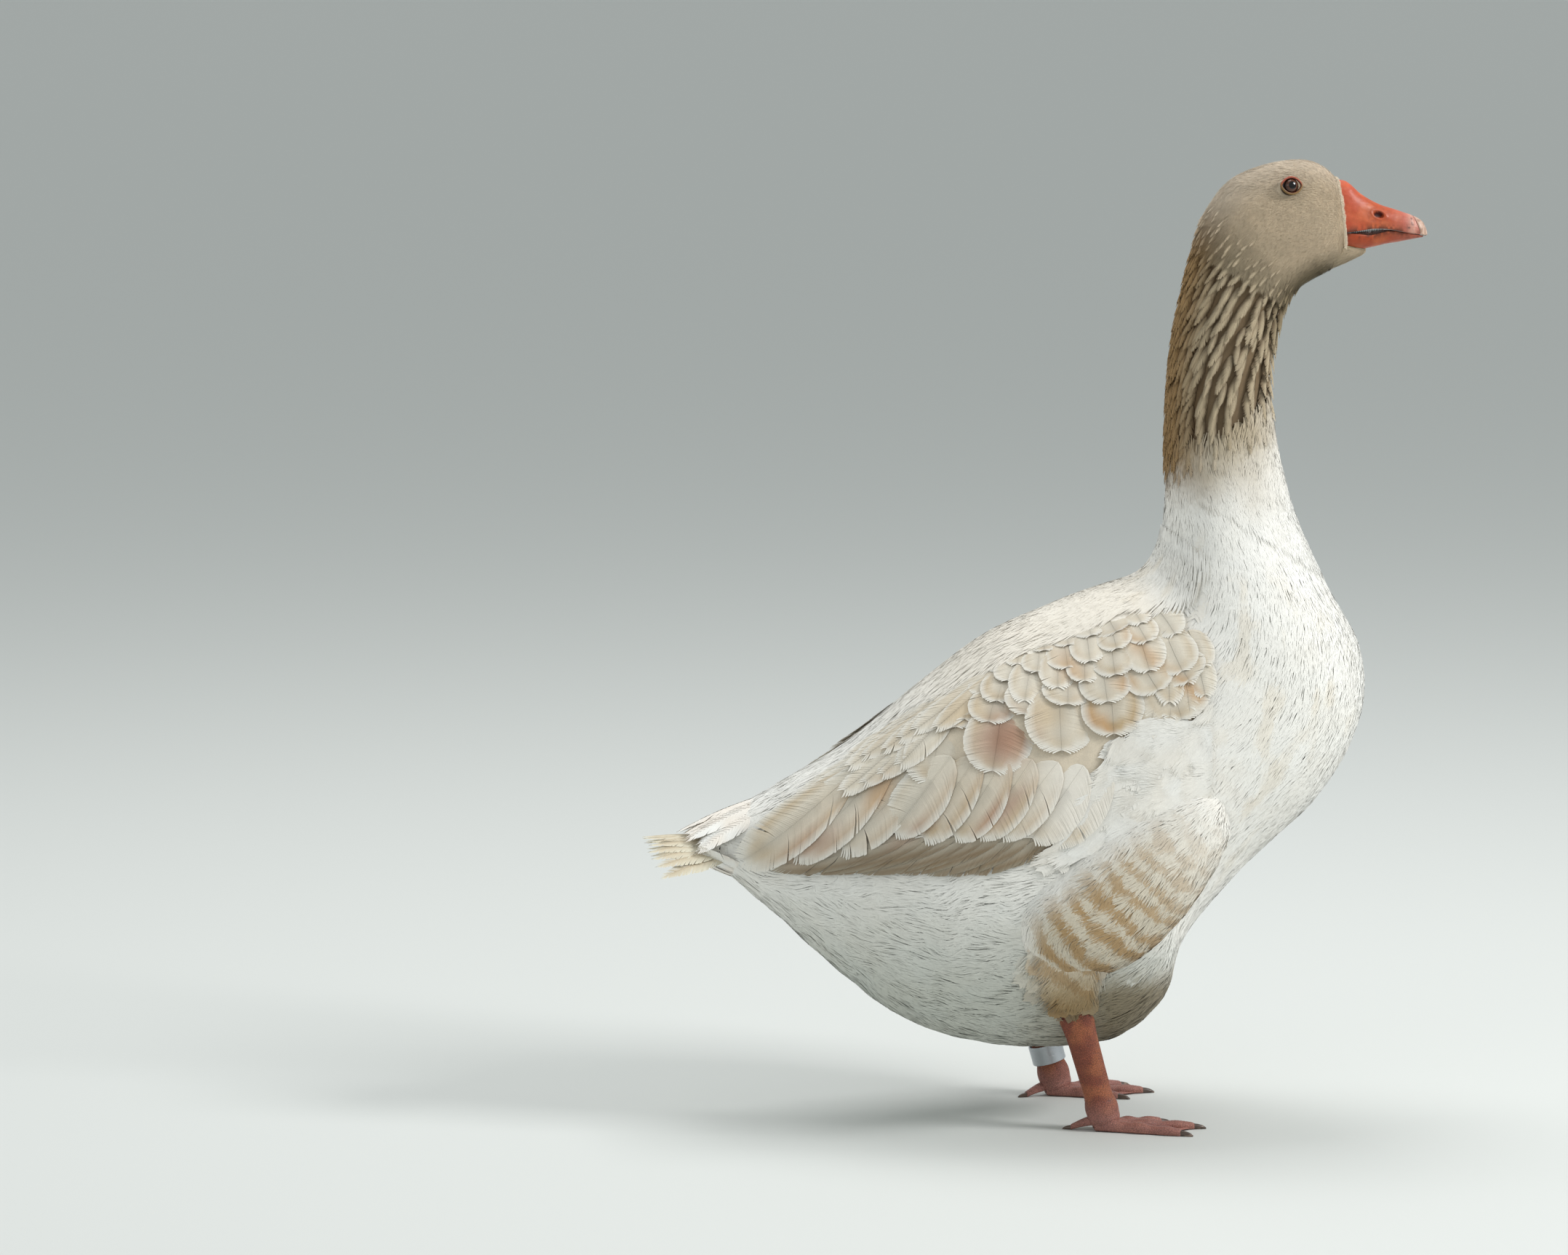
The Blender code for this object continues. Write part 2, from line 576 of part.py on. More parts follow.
def wing_lift(x, share):
    """Height of the wing's core over the trunk, highest along its middle and level at the tip."""
    return np.interp(x, *np.transpose(WING_HEIGHT)) * (1 - abs(2 * share - 1) ** 3)


def wing_core(tree, side):
    """The folded wing without its feathers: a leaf over the flank, its underside sunk in the trunk."""
    rows, columns = 10, 6
    xs = np.linspace(WING_EDGE[-1][0], WING_EDGE[0][0], rows)
    points, normals = np.empty((rows, columns, 3)), np.empty((rows, columns, 3))
    outer = np.empty((rows, columns, 3))
    for i, x in enumerate(xs):
        top, low = wing_edges(x)
        for j, share in enumerate(np.linspace(0, 1, columns)):
            spot, normal = hull_point(tree, x, top + (low - top) * share)
            points[i, j] = spot - normal * WING_SINK
            outer[i, j] = spot + normal * (wing_lift(x, share) + WING_SKIN)
    index = np.arange(rows * columns).reshape(rows, columns)
    deep = index + rows * columns
    faces = []
    for i in range(rows - 1):
        for j in range(columns - 1):
            a, b, c, d = index[i, j], index[i, j + 1], index[i + 1, j + 1], index[i + 1, j]
            faces.append((a, b, c, d))
            a, b, c, d = deep[i, j], deep[i, j + 1], deep[i + 1, j + 1], deep[i + 1, j]
            faces.append((d, c, b, a))
    rim = list(index[0]) + list(index[1:, -1]) + list(index[-1, -2::-1]) + list(index[-2:0:-1, 0])
    for a, b in zip(rim, rim[1:] + rim[:1]):
        faces.append((b, a, a + rows * columns, b + rows * columns))
    return solid("core", mirrored(np.concatenate([outer.reshape(-1, 3), points.reshape(-1, 3)]), side), faces)


def vane(name, widths, centres, normals, half_width, side):
    """A feather's vane: a thin arched blade along its centres, thickest down its middle."""
    rings = []
    count = len(centres)
    for k, ((_, width), centre, normal) in enumerate(zip(widths, centres, normals)):
        ahead = centres[min(k + 1, count - 1)] - centres[max(k - 1, 0)]
        ahead = ahead / np.linalg.norm(ahead)
        across = np.cross(normal, ahead)
        across /= np.linalg.norm(across)
        up = np.cross(ahead, across)
        across, up = across + VANE_ROLL * up, up - VANE_ROLL * across
        reach = half_width * width
        edge = VANE_EDGE if k < count - 1 else VANE_TIP
        middle = VANE_MIDDLE if k < count - 1 else VANE_TIP
        ring = []
        for q, thick in ((-1, edge), (0, middle), (1, edge), (1, -edge), (0, -middle), (-1, -edge)):
            ring.append(centre + across * reach * q + up * (VANE_ARCH * reach * (1 - abs(q)) + thick / 2))
        rings.append(mirrored(ring, side))
    faces = [(0, 1, 4, 5), (1, 2, 3, 4)]
    last = 6 * (count - 1)
    faces += [(last + 5, last + 4, last + 1, last), (last + 4, last + 3, last + 2, last + 1)]
    for k in range(count - 1):
        for j in range(6):
            a, b, c, d = 6 * k + j, 6 * k + (j + 1) % 6, 6 * k + 6 + (j + 1) % 6, 6 * k + 6 + j
            if j in (3, 4):
                faces += [(a, b, d), (b, c, d)]
            else:
                faces += [(a, b, c), (a, c, d)]
    return solid(name, np.concatenate(rings), faces)


def wing_vanes(tree, side):
    """Every vane of the folded wing, tier by tier."""
    made = []
    for label, first, last, count, half_width, rise in WING_TIERS:
        widths = SHORT_VANE if label in SHORT_TIERS else LONG_VANE
        for number in range(count):
            mix = number / max(count - 1, 1)
            root_x, root_deg, tip_x, tip_deg = np.array(first) * (1 - mix) + np.array(last) * mix
            centres, normals = [], []
            for t, _ in widths:
                x = root_x + (tip_x - root_x) * t
                degrees = root_deg + (tip_deg - root_deg) * t
                top, low = wing_edges(x)
                share = np.clip((degrees - top) / (low - top), 0.0, 1.0)
                spot, normal = hull_point(tree, x, degrees)
                lift = wing_lift(x, share) - VANE_ROOT_SINK + (rise + VANE_ROOT_SINK) * t**0.8
                lift += VANE_STEP * (number % 2)
                centres.append(spot + normal * lift)
                normals.append(normal)
            made.append(vane(label, widths, centres, normals, half_width, side))
    return made


def make_wing(name, side, torso, thigh_space, tree, finish):
    """The folded wing: its core and vanes as one solid, cut clear of the trunk and the thigh."""
    wing = wing_core(tree, side)
    wing.name = name
    wing.data.materials.append(finish)
    boolean(wing, "UNION", wing_vanes(tree, side))
    keep_largest(wing)
    boolean(wing, "DIFFERENCE", [grown(torso)])
    boolean(wing, "DIFFERENCE", [thigh_space])
    keep_largest(wing)
    return wing


def make_tail(torso, finish):
    """The root of the tail and the fan of vanes that grows from it."""
    start = section_ring(0.0, TAIL_SIDES)[::-1] - section_axis(0.0) * GAP
    rings = [np.roll(start, 6, axis=0)]
    turn = np.arange(TAIL_SIDES) * FULL_TURN / TAIL_SIDES
    for share, half_width, half_height in TAIL_STUB_SIZES:
        centre = np.array([
            TAIL_STUB[0] + TAIL_STUB_REACH[0] * share, 0.0, TAIL_STUB[1] + TAIL_STUB_REACH[1] * share,
        ])
        across = half_width * np.cos(turn)
        rise = half_height * np.sin(turn) - TAIL_STUB_BOW * share * across**2
        rings.append(centre + across[:, None] * [0, 1, 0] + rise[:, None] * TAIL_STUB_SLOPE)
    tail = tube("tail", rings, finish)
    made = []
    for number in range(TAIL_COUNT):
        q = 2 * number / (TAIL_COUNT - 1) - 1
        bow = q * q
        root = np.array([
            TAIL_ROOT[0],
            TAIL_OUTER_ROOT[1] * q,
            TAIL_ROOT[1] + (TAIL_OUTER_ROOT[2] - TAIL_ROOT[1]) * bow,
        ])
        tip = np.array([
            TAIL_TIP[0] + (TAIL_OUTER_TIP[0] - TAIL_TIP[0]) * bow + TAIL_UNEVEN * (number % 3 - 1),
            TAIL_OUTER_TIP[1] * q,
            TAIL_TIP[1] + (TAIL_OUTER_TIP[2] - TAIL_TIP[1]) * bow,
        ])
        centres = [root + (tip - root) * share for share, _ in SHORT_VANE]
        lean = np.array([-0.2, 0.75 * q, 1.0])
        side = 1 if q >= 0 else -1
        centres = [mirrored(spot, side) + np.array([0, 0, TAIL_LAYER * (number % 2)]) for spot in centres]
        lean = mirrored(lean, side)
        made.append(vane("rectrix", SHORT_VANE, centres, [lean] * len(centres), TAIL_HALF_WIDTH, side))
    for q in (-1, 0, 1):
        side = -1 if q < 0 else 1
        aside = abs(q)
        root = np.array([COVERT_ROOT[0], COVERT_ROOT[1] * aside, COVERT_ROOT[2]])
        tip = np.array([COVERT_TIP[0], COVERT_TIP[1] * aside, COVERT_TIP[2] - COVERT_DROP * aside])
        centres = [root + (tip - root) * share for share, _ in SHORT_VANE]
        lean = np.array([-0.1, 0.45 * aside, 1.0])
        made.append(vane("covert", SHORT_VANE, centres, [lean] * len(centres), COVERT_HALF_WIDTH, side))
    boolean(tail, "UNION", made)
    boolean(tail, "DIFFERENCE", [grown(torso)])
    keep_largest(tail)
    return tail


def oval_tube(name, stations, sides, side, finish=None):
    """A solid through ovals: each has a centre, the path's direction, and half sizes fore and across."""
    rings = []
    turn = np.arange(sides) * FULL_TURN / sides
    for centre, direction, fore, across in stations:
        direction = np.array(direction) / np.linalg.norm(direction)
        right = np.array([0.0, 1.0, 0.0]) - direction[1] * direction
        right /= np.linalg.norm(right)
        front = np.cross(right, direction)
        ring = np.array(centre) + fore * np.cos(turn)[:, None] * front + across * np.sin(turn)[:, None] * right
        rings.append(mirrored(ring, side))
    return tube(name, rings, finish)


def leg_points(back):
    """Foot joint, ankle and the way down of a leg that stands this far behind the right one."""
    joint = np.array([FOOT_JOINT[0] - back, LEG_SPREAD, FOOT_JOINT[1]])
    ankle = np.array([ANKLE[0] - back, LEG_SPREAD, ANKLE[1]])
    return joint, ankle, (joint - ankle) / np.linalg.norm(joint - ankle)


def make_thigh(name, side, back, torso, finish):
    """The thigh in its flank feathers, laid on the trunk and ending flat at the ankle.

    Also returns the space that the wing keeps clear of.
    """
    joint, ankle, down = leg_points(back)
    stations = []
    for x, y, z, radius, tilt in THIGH_PATH:
        centre = np.array([x - back * THIGH_FOLLOWS, y, z])
        direction = np.array([math.cos(tilt), 0.0, math.sin(tilt)])
        stations.append((centre, -direction, radius, radius * THIGH_FLAT))
    for reach, fore, across in THIGH_END:
        stations.append((ankle + down * reach, down, fore, across))
    thigh = oval_tube(name, stations, 18, side, finish)
    space = grown(thigh)
    boolean(thigh, "DIFFERENCE", [grown(torso)])
    keep_largest(thigh)
    return space


def make_leg(name, side, back, torso, finish):
    """The bare leg from the ankle down to the foot's joint."""
    joint, ankle, down = leg_points(back)
    start, end = ankle + down * GAP, joint
    stations = [
        (start + (end - start) * share, down, fore, across)
        for share, fore, across in LEG_SIZES
    ]
    leg = oval_tube(name, stations, 16, side, finish)
    boolean(leg, "DIFFERENCE", [grown(torso)])
    keep_largest(leg)
    return leg


def toe_ring(centre, heading, half_width, height):
    """Cross-section of a toe on the floor: a dome on a flat sole."""
    across = np.array([-math.sin(heading), math.cos(heading), 0.0])
    return np.array([
        np.array(centre) + across * half_width * y + np.array([0.0, 0.0, height * z]) for y, z in TOE_PROFILE
    ])


def make_foot(name, side, back, skin, horn):
    """A webbed foot: three toes and the web between, a raised hind toe, and a claw on each."""
    joint, ankle, down = leg_points(back)
    heel = np.array([joint[0] - HEEL_BACK, LEG_SPREAD, 0.0])
    made = []
    toes = []
    for label, length, heading in TOES:
        aim = np.array([math.cos(heading), math.sin(heading), 0.0])
        rings = []
        for share, width, height in TOE_SIZES:
            rings.append(mirrored(toe_ring(heel + aim * length * share, heading, width, height), side))
        toes.append(tube(label, rings))
        claw = []
        for reach, width, height in CLAW_SIZES:
            spot = heel + aim * (length + reach)
            claw.append(mirrored(toe_ring(spot, heading, width, height), side))
        made.append(tube(f"claw_{label}_{name[5:]}", claw, horn))
    web = []
    for share, turn in WEB_EDGE:
        web.append(heel[:2] + share * np.array([math.cos(turn), math.sin(turn)]))
    levels = [[(x, y, z) for x, y in web] for z in WEB_LEVELS]
    plate = tube("web", [mirrored(np.array(level), side) for level in levels])
    stations = [(joint + down * reach, down, fore, across) for reach, fore, across in KNOB_SIZES]
    knob = oval_tube("knob", stations, 12, side)
    aim = np.array([math.cos(HIND_HEADING), math.sin(HIND_HEADING), 0.0])
    rings = []
    for share, width, height, base in HIND_SIZES:
        spot = heel + aim * HIND_LENGTH * share + np.array([0.0, 0.0, base])
        rings.append(mirrored(toe_ring(spot, HIND_HEADING, width, height), side))
    hind = tube("hind", rings)
    claw = []
    for reach, width, height in HIND_CLAW_SIZES:
        spot = heel + aim * (HIND_LENGTH + reach)
        claw.append(mirrored(toe_ring(spot, HIND_HEADING, width, height), side))
    made.append(tube(f"claw_hind_{name[5:]}", claw, horn))
    foot = toes[0]
    foot.name = name
    foot.data.materials.append(skin)
    boolean(foot, "UNION", toes[1:] + [plate, knob, hind])
    keep_largest(foot)
    made.append(foot)
    return made


def make_leg_ring(metal):
    """The plain metal ring that sits loose on the left leg."""
    joint, _, down = leg_points(LEFT_LEG_BACK)
    front = np.cross([0.0, 1.0, 0.0], down)
    centre = joint - down * RING_UP + front * RING_FORWARD
    turn = np.arange(28) * FULL_TURN / 28
    rings = []
    for radius, along in ((RING_OUTER, 0.5), (RING_OUTER, -0.5), (RING_INNER, -0.5), (RING_INNER, 0.5)):
        spot = centre + down * along * RING_HEIGHT
        rings.append(spot + radius * (np.cos(turn)[:, None] * front + np.sin(turn)[:, None] * [0.0, 1.0, 0.0]))
    return torus("leg_ring", rings, metal)


def clear_scene():
    """Takes everything out, so that only the bird is left."""
    for old in list(bpy.data.objects):
        bpy.data.objects.remove(old)


def main():
    """Builds the bird, middle parts first and then each side."""
    clear_scene()
    finish = {name: material(name, *values) for name, values in FINISHES.items()}
    torso = make_torso(finish["white_plumage"])
    make_neck(finish["buff_plumage"])
    make_head(finish["buff_plumage"])
    make_bill(finish["bill_skin"], finish["nail_horn"])
    tree = hull_tree()
    make_tail(torso, finish["wing_plumage"])
    make_leg_ring(finish["ring_metal"])
    for side, label, back in ((1, "left", LEFT_LEG_BACK), (-1, "right", 0.0)):
        ball(f"eye_{label}", side, EYE_RADIUS, 12, 7, finish["eye"])
        thigh_space = make_thigh(f"thigh_{label}", side, back, torso, finish["white_plumage"])
        make_wing(f"wing_{label}", side, torso, thigh_space, tree, finish["wing_plumage"])
        make_leg(f"leg_{label}", side, back, torso, finish["leg_skin"])
        make_foot(f"foot_{label}", side, back, finish["foot_skin"], finish["claw_horn"])


main()
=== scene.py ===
# %% [markdown]
# # A buff goose, standing
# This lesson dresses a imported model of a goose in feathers. The solids give the size, the stance and what
# the bird rests on. Everything that shows is made here: one skin, feathers in their tiers, and bare parts.
# The bird faces +X, its left is +Y, and all sizes are metres.

# %% Load the frame
import math

import bpy
import numpy as np
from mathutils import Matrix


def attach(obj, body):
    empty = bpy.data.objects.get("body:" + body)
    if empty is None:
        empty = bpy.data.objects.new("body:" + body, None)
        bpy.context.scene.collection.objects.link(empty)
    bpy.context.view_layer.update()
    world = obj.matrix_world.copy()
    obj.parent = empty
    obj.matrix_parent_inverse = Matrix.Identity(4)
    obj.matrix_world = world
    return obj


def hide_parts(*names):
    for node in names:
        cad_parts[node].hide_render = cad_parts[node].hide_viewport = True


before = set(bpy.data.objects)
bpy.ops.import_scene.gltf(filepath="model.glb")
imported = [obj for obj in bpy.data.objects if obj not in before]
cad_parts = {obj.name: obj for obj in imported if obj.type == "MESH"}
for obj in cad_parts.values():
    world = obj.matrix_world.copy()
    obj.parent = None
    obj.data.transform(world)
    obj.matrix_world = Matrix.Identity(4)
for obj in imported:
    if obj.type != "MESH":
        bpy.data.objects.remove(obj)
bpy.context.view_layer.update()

draw = np.random.default_rng(41)
FULL_TURN = 2 * math.pi

# %% [markdown]
# ## The camera
# The photograph was taken from a little behind the bird's right side, at about a person's hip height. A long
# lens keeps the far leg nearly as large as the near one, so the distance is several metres.

# %% Camera
CAMERA_AWAY = 4.6
CAMERA_AZIMUTH = math.radians(-8.0)
CAMERA_HEIGHT = 0.92
CAMERA_YAW = math.radians(5.5795)
CAMERA_PITCH = math.radians(6.6592)
camera_data = bpy.data.cameras.new("camera")
camera_data.lens = 136.72
camera_data.sensor_width = 36.0
camera = bpy.data.objects.new("camera", camera_data)
camera.location = (
    CAMERA_AWAY * math.sin(CAMERA_AZIMUTH), -CAMERA_AWAY * math.cos(CAMERA_AZIMUTH), CAMERA_HEIGHT,
)
camera.rotation_euler = (math.pi / 2 - CAMERA_PITCH, 0.0, -CAMERA_YAW)
bpy.context.scene.collection.objects.link(camera)
bpy.context.scene.camera = camera
print("camera at", [round(c, 3) for c in camera.location])

# %% [markdown]
# ## Nodes and colours
# One small function adds a shader node with its settings and its links. Colours are written as sRGB hex, as
# a paint chart gives them, and one function turns them to the linear light that shaders use.

# %% Helpers for materials


def linear(code):
    """sRGB hex to linear red, green, blue: each channel c becomes ((c + 0.055) / 1.055) to the power 2.4."""
    channels = np.array([int(code[i:i + 2], 16) for i in (1, 3, 5)]) / 255
    return np.where(channels <= 0.04045, channels / 12.92, ((channels + 0.055) / 1.055) ** 2.4)


def add_node(tree, kind, settings=None, links=None, **values):
    """Adds a node. settings are its properties, values its sockets' numbers, links its sockets' sources."""
    made = tree.nodes.new(kind)
    for key, value in (settings or {}).items():
        setattr(made, key, value)
    for key, value in values.items():
        made.inputs[key.replace("_", " ")].default_value = value
    for key, source in (links or {}).items():
        tree.links.new(source, made.inputs[key])
    return made


def new_material(name, roughness, sheen=0.0, specular=0.5, metallic=0.0, subsurface=0.0, coat=0.0):
    """A material with a Principled shader. Numbers that are the same all over sit on the shader's sockets."""
    made = bpy.data.materials.new(name)
    made.use_nodes = True
    shader = made.node_tree.nodes["Principled BSDF"]
    values = {
        "Roughness": roughness, "Sheen Weight": sheen, "Sheen Roughness": 0.5, "Specular IOR Level": specular,
        "Metallic": metallic, "Subsurface Weight": subsurface, "Subsurface Scale": 0.004,
        "Subsurface Radius": (1.0, 0.5, 0.3), "Coat Weight": coat, "Coat Roughness": 0.2,
    }
    for socket, value in values.items():
        shader.inputs[socket].default_value = value
    return made, made.node_tree, shader


def darken(tree, shader, share):
    """Multiplies whatever colours the shader by a grey of this share."""
    grey = add_node(tree, "ShaderNodeCombineColor", links=dict.fromkeys(("Red", "Green", "Blue"), share))
    before = shader.inputs["Base Color"].links[0].from_socket
    mixed = add_node(tree, "ShaderNodeMix", {"data_type": "RGBA", "blend_type": "MULTIPLY"},
                     {6: before, 7: grey.outputs["Color"]}, Factor=1.0)
    tree.links.new(mixed.outputs[2], shader.inputs["Base Color"])


def tinted(name, roughness, **others):
    """A material whose colour is the tint that its piece carries at each point."""
    made, tree, shader = new_material(name, roughness, **others)
    tint = add_node(tree, "ShaderNodeAttribute", {"attribute_name": "tint"})
    tree.links.new(tint.outputs["Color"], shader.inputs["Base Color"])
    return made, tree, shader


def mottled(name, roughness, fine, coarse, dark, bump, depth, **others):
    """A tinted material, darkened by two noises, with a fine bump.

    fine and coarse are grain sizes in millimetres, dark the share of light that the darkest grain keeps,
    and depth the bump's height in millimetres.
    """
    made, tree, shader = tinted(name, roughness, **others)
    where = add_node(tree, "ShaderNodeTexCoord").outputs["Object"]
    small, broad = (
        add_node(tree, "ShaderNodeTexNoise", links={"Vector": where}, Scale=1000 / size, Detail=detail)
        for size, detail in ((fine, 3.0), (coarse, 4.0))
    )
    both = add_node(tree, "ShaderNodeMath", {"operation": "MULTIPLY"},
                    {0: small.outputs["Fac"], 1: broad.outputs["Fac"]})
    shade = add_node(tree, "ShaderNodeMapRange", links={"Value": both.outputs[0]},
                     From_Min=0.12, From_Max=0.36, To_Min=dark, To_Max=1.0)
    darken(tree, shader, shade.outputs["Result"])
    height = add_node(tree, "ShaderNodeBump", links={"Height": small.outputs["Fac"]},
                      Strength=bump, Distance=depth / 1000)
    tree.links.new(height.outputs["Normal"], shader.inputs["Normal"])
    return made, tree, shader


# %% [markdown]
# A finish is a material paired with the name of a slot, which nothing here uses. Plumage is keratin: matt,
# with a faint sheen from its fine barbs and no gloss. Its tint holds the markings.

# %% Plumage


def plumage(name, slot, roughness, sheen, dark):
    """Finish of feathers, with grains of 0.9 and 9 mm."""
    return mottled(name, roughness, 0.9, 9.0, dark, 0.25, 0.12, sheen=sheen, specular=0.2)[0], slot


body_plumage = plumage("white_contour_feather", "white_plumage", 0.85, 0.06, 0.93)
neck_plumage = plumage("buff_neck_feather", "buff_plumage", 0.85, 0.05, 0.86)
wing_plumage = plumage("buff_wing_vane", "wing_plumage", 0.68, 0.05, 0.92)
skin_down = plumage("down_over_skin", "white_plumage", 0.95, 0.0, 0.85)
print("plumages:", [finish[0].name for finish in (body_plumage, neck_plumage, wing_plumage, skin_down)])

# %% [markdown]
# ## Meshes from arrays
# Every new piece is a set of arrays: points, faces, a colour for each point and a place on the bake map for
# each corner. One function turns them into an object, hands it to the body that carries it and hides the
# solids it stands for.

# %% Helper for meshes


def facing(points, quads, out_at_points):
    """Turns over the faces that look inwards."""
    a, b, c = (points[quads[:, i]] for i in (0, 1, 2))
    turned = (np.cross(b - a, c - a) * out_at_points[quads[:, 0]]).sum(-1) < 0
    quads = quads.copy()
    quads[turned] = quads[turned][:, ::-1]
    return quads


def add_piece(name, points, faces, finish, tint, uv, replaced=(), smooth=True, soft=None, share=0.7):
    """Makes the object. points (n, 3), faces (m, 3 or 4), tint (n, 3) or one colour, uv (m * sides, 2).

    soft gives each point the normal of the body under it. Mixed in by its share with the point's own normal,
    it lets thousands of thin barbs take the light together, as down does, and not glitter one by one.
    """
    sides = faces.shape[1]
    if soft is not None:
        faces = facing(points, faces, soft)
    mesh = bpy.data.meshes.new(name)
    mesh.vertices.add(len(points))
    mesh.vertices.foreach_set("co", np.ascontiguousarray(points, np.float32).ravel())
    mesh.loops.add(faces.size)
    mesh.loops.foreach_set("vertex_index", np.ascontiguousarray(faces, np.int32).ravel())
    mesh.polygons.add(len(faces))
    mesh.polygons.foreach_set("loop_start", np.arange(len(faces), dtype=np.int32) * sides)
    mesh.polygons.foreach_set("use_smooth", np.full(len(faces), smooth))
    mesh.update(calc_edges=True)
    colour = mesh.attributes.new("tint", "FLOAT_COLOR", "POINT")
    rgba = np.ones((len(points), 4), np.float32)
    rgba[:, :3] = tint
    colour.data.foreach_set("color", rgba.ravel())
    layer = mesh.uv_layers.new(name="OFBake")
    layer.data.foreach_set("uv", np.ascontiguousarray(uv, np.float32).ravel())
    material, slot = finish
    mesh.materials.append(material)
    if soft is not None:
        own = np.empty(len(points) * 3, np.float32)
        mesh.vertex_normals.foreach_get("vector", own)
        mesh.normals_split_custom_set_from_vertices(unit(own.reshape(-1, 3) * (1 - share) + soft * share))
    made = bpy.data.objects.new(name, mesh)
    bpy.context.scene.collection.objects.link(made)
    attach(made, "root")
    if replaced:
        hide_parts(*replaced)
    print(f"{name}: {len(points)} points, {len(faces) * (sides - 2)} triangles")


def grid_of(first, second):
    """Two rows of values, spread over a grid: the first runs down its rows, the second across its columns."""
    return np.meshgrid(first, second, indexing="ij")


def turns(count):
    """Angles of a full circle in this many even steps."""
    return np.arange(count) * FULL_TURN / count


def grid_faces(rows, columns, wrap=False, ring=False):
    """Quads of a grid whose points run row by row. wrap joins the last column to the first, ring the rows."""
    row, column = grid_of(np.arange(rows - (not ring)), np.arange(columns - (not wrap)))
    below, after = (row + 1) % rows, (column + 1) % columns
    corners = ((row, column), (row, after), (below, after), (below, column))
    return np.stack([r * columns + c for r, c in corners], -1).reshape(-1, 4)


def grid_uv(rows, columns, wrap=False, ring=False):
    """Bake map of the same quads: the grid laid out flat from 0 to 1, its seams left open."""
    high, wide = rows - (not ring), columns - (not wrap)
    row, column = grid_of(np.arange(high), np.arange(wide))
    corners = ((0, 0), (0, 1), (1, 1), (1, 0))
    flat = [np.stack([(row + r) / high, (column + c) / wide], -1) for r, c in corners]
    return np.stack(flat, 2).reshape(-1, 2)


def closed_tube(rings):
    """Points, triangles and bake map of a tube given as rings (rows, columns, 3).

    Each end is closed by a fan on its centre, laid out in a strip beside the tube's own flat map. The signed
    volume, a sixth of the sum of a . (b x c) over the triangles, says whether the faces have to be turned.
    """
    rows, columns = rings.shape[:2]
    points = np.concatenate([rings.reshape(-1, 3), rings[:1].mean(1), rings[-1:].mean(1)])
    quads = grid_faces(rows, columns, True)
    flat = grid_uv(rows, columns, True).reshape(-1, 4, 2) * [0.96, 1.0] + [0.02, 0.0]
    here = np.arange(columns)
    after = (here + 1) % columns
    last = (rows - 1) * columns
    centre = np.full(columns, rows * columns)
    triangles = np.concatenate([quads[:, :3], quads[:, [0, 2, 3]], np.stack([centre, after, here], -1),
                                np.stack([centre + 1, here + last, after + last], -1)])
    low, middle, high = here / columns, (here + 0.5) / columns, (here + 1) / columns
    strips = [np.stack([np.stack([np.full(columns, a), b], -1) for a, b in corners], 1) for corners in (
        ((0.0, middle), (0.02, high), (0.02, low)), ((1.0, middle), (0.98, low), (0.98, high)),
    )]
    uv = np.concatenate([flat[:, :3], flat[:, [0, 2, 3]], *strips])
    a, b, c = (points[triangles[:, i]] - points.mean(0) for i in range(3))
    if (a * np.cross(b, c)).sum() < 0:
        triangles, uv = triangles[:, ::-1], uv[:, ::-1]
    return points, triangles, uv.reshape(-1, 2)


def join(parts):
    """Joins several (points, faces, uv, tint) into one set of arrays."""
    starts = np.cumsum([0] + [len(part[0]) for part in parts])
    faces = np.concatenate([part[1] + start for part, start in zip(parts, starts)])
    return (np.concatenate([part[0] for part in parts]), faces, np.concatenate([part[2] for part in parts]),
            np.concatenate([np.broadcast_to(part[3], (len(part[0]), 3)) for part in parts]))


def unit(vectors):
    return vectors / np.maximum(np.linalg.norm(vectors, axis=-1, keepdims=True), 1e-12)


def smooth_step(low, high, value):
    """0 below low, 1 above high and 3t^2 - 2t^3 between them."""
    t = np.clip((value - low) / (high - low), 0, 1)
    return t * t * (3 - 2 * t)


def bell(value, centre, width):
    return np.exp(-(((value - centre) / width) ** 2))


def signed(phi):
    """An angle round the body, counted from its top: plus on one side and minus on the other."""
    return (phi + math.pi) % FULL_TURN - math.pi


def cloudiness(points, size, seed=0):
    """Smooth noise from 0 to 1 at places in space: hashed lattice values, blended over cells this size."""
    at = np.asarray(points) / size + 1000.0
    cell = np.floor(at).astype(np.int64)
    part = at - cell
    part = part * part * (3 - 2 * part)
    total = 0.0
    for corner in np.ndindex(2, 2, 2):
        n = ((cell + corner) * (73856093, 19349663, 83492791)).sum(-1) + seed * 7919
        n = (n ^ (n >> 13)) * 1274126177
        value = ((n ^ (n >> 16)) & 0xFFFF) / 65535
        weight = np.where(np.array(corner) == 1, part, 1 - part).prod(-1)
        total = total + value * weight
    return total


# %% [markdown]
# ## The form under the feathers
# Trunk, neck and head are one form, as on the solids. It is a row of cross-sections from the tail root to the
# bill, each with a top point, an underside point, a half width and the height at which it is widest. A place
# on it is a section number s and an angle phi, 0 on top and pi underneath. Feathers lie towards smaller s.

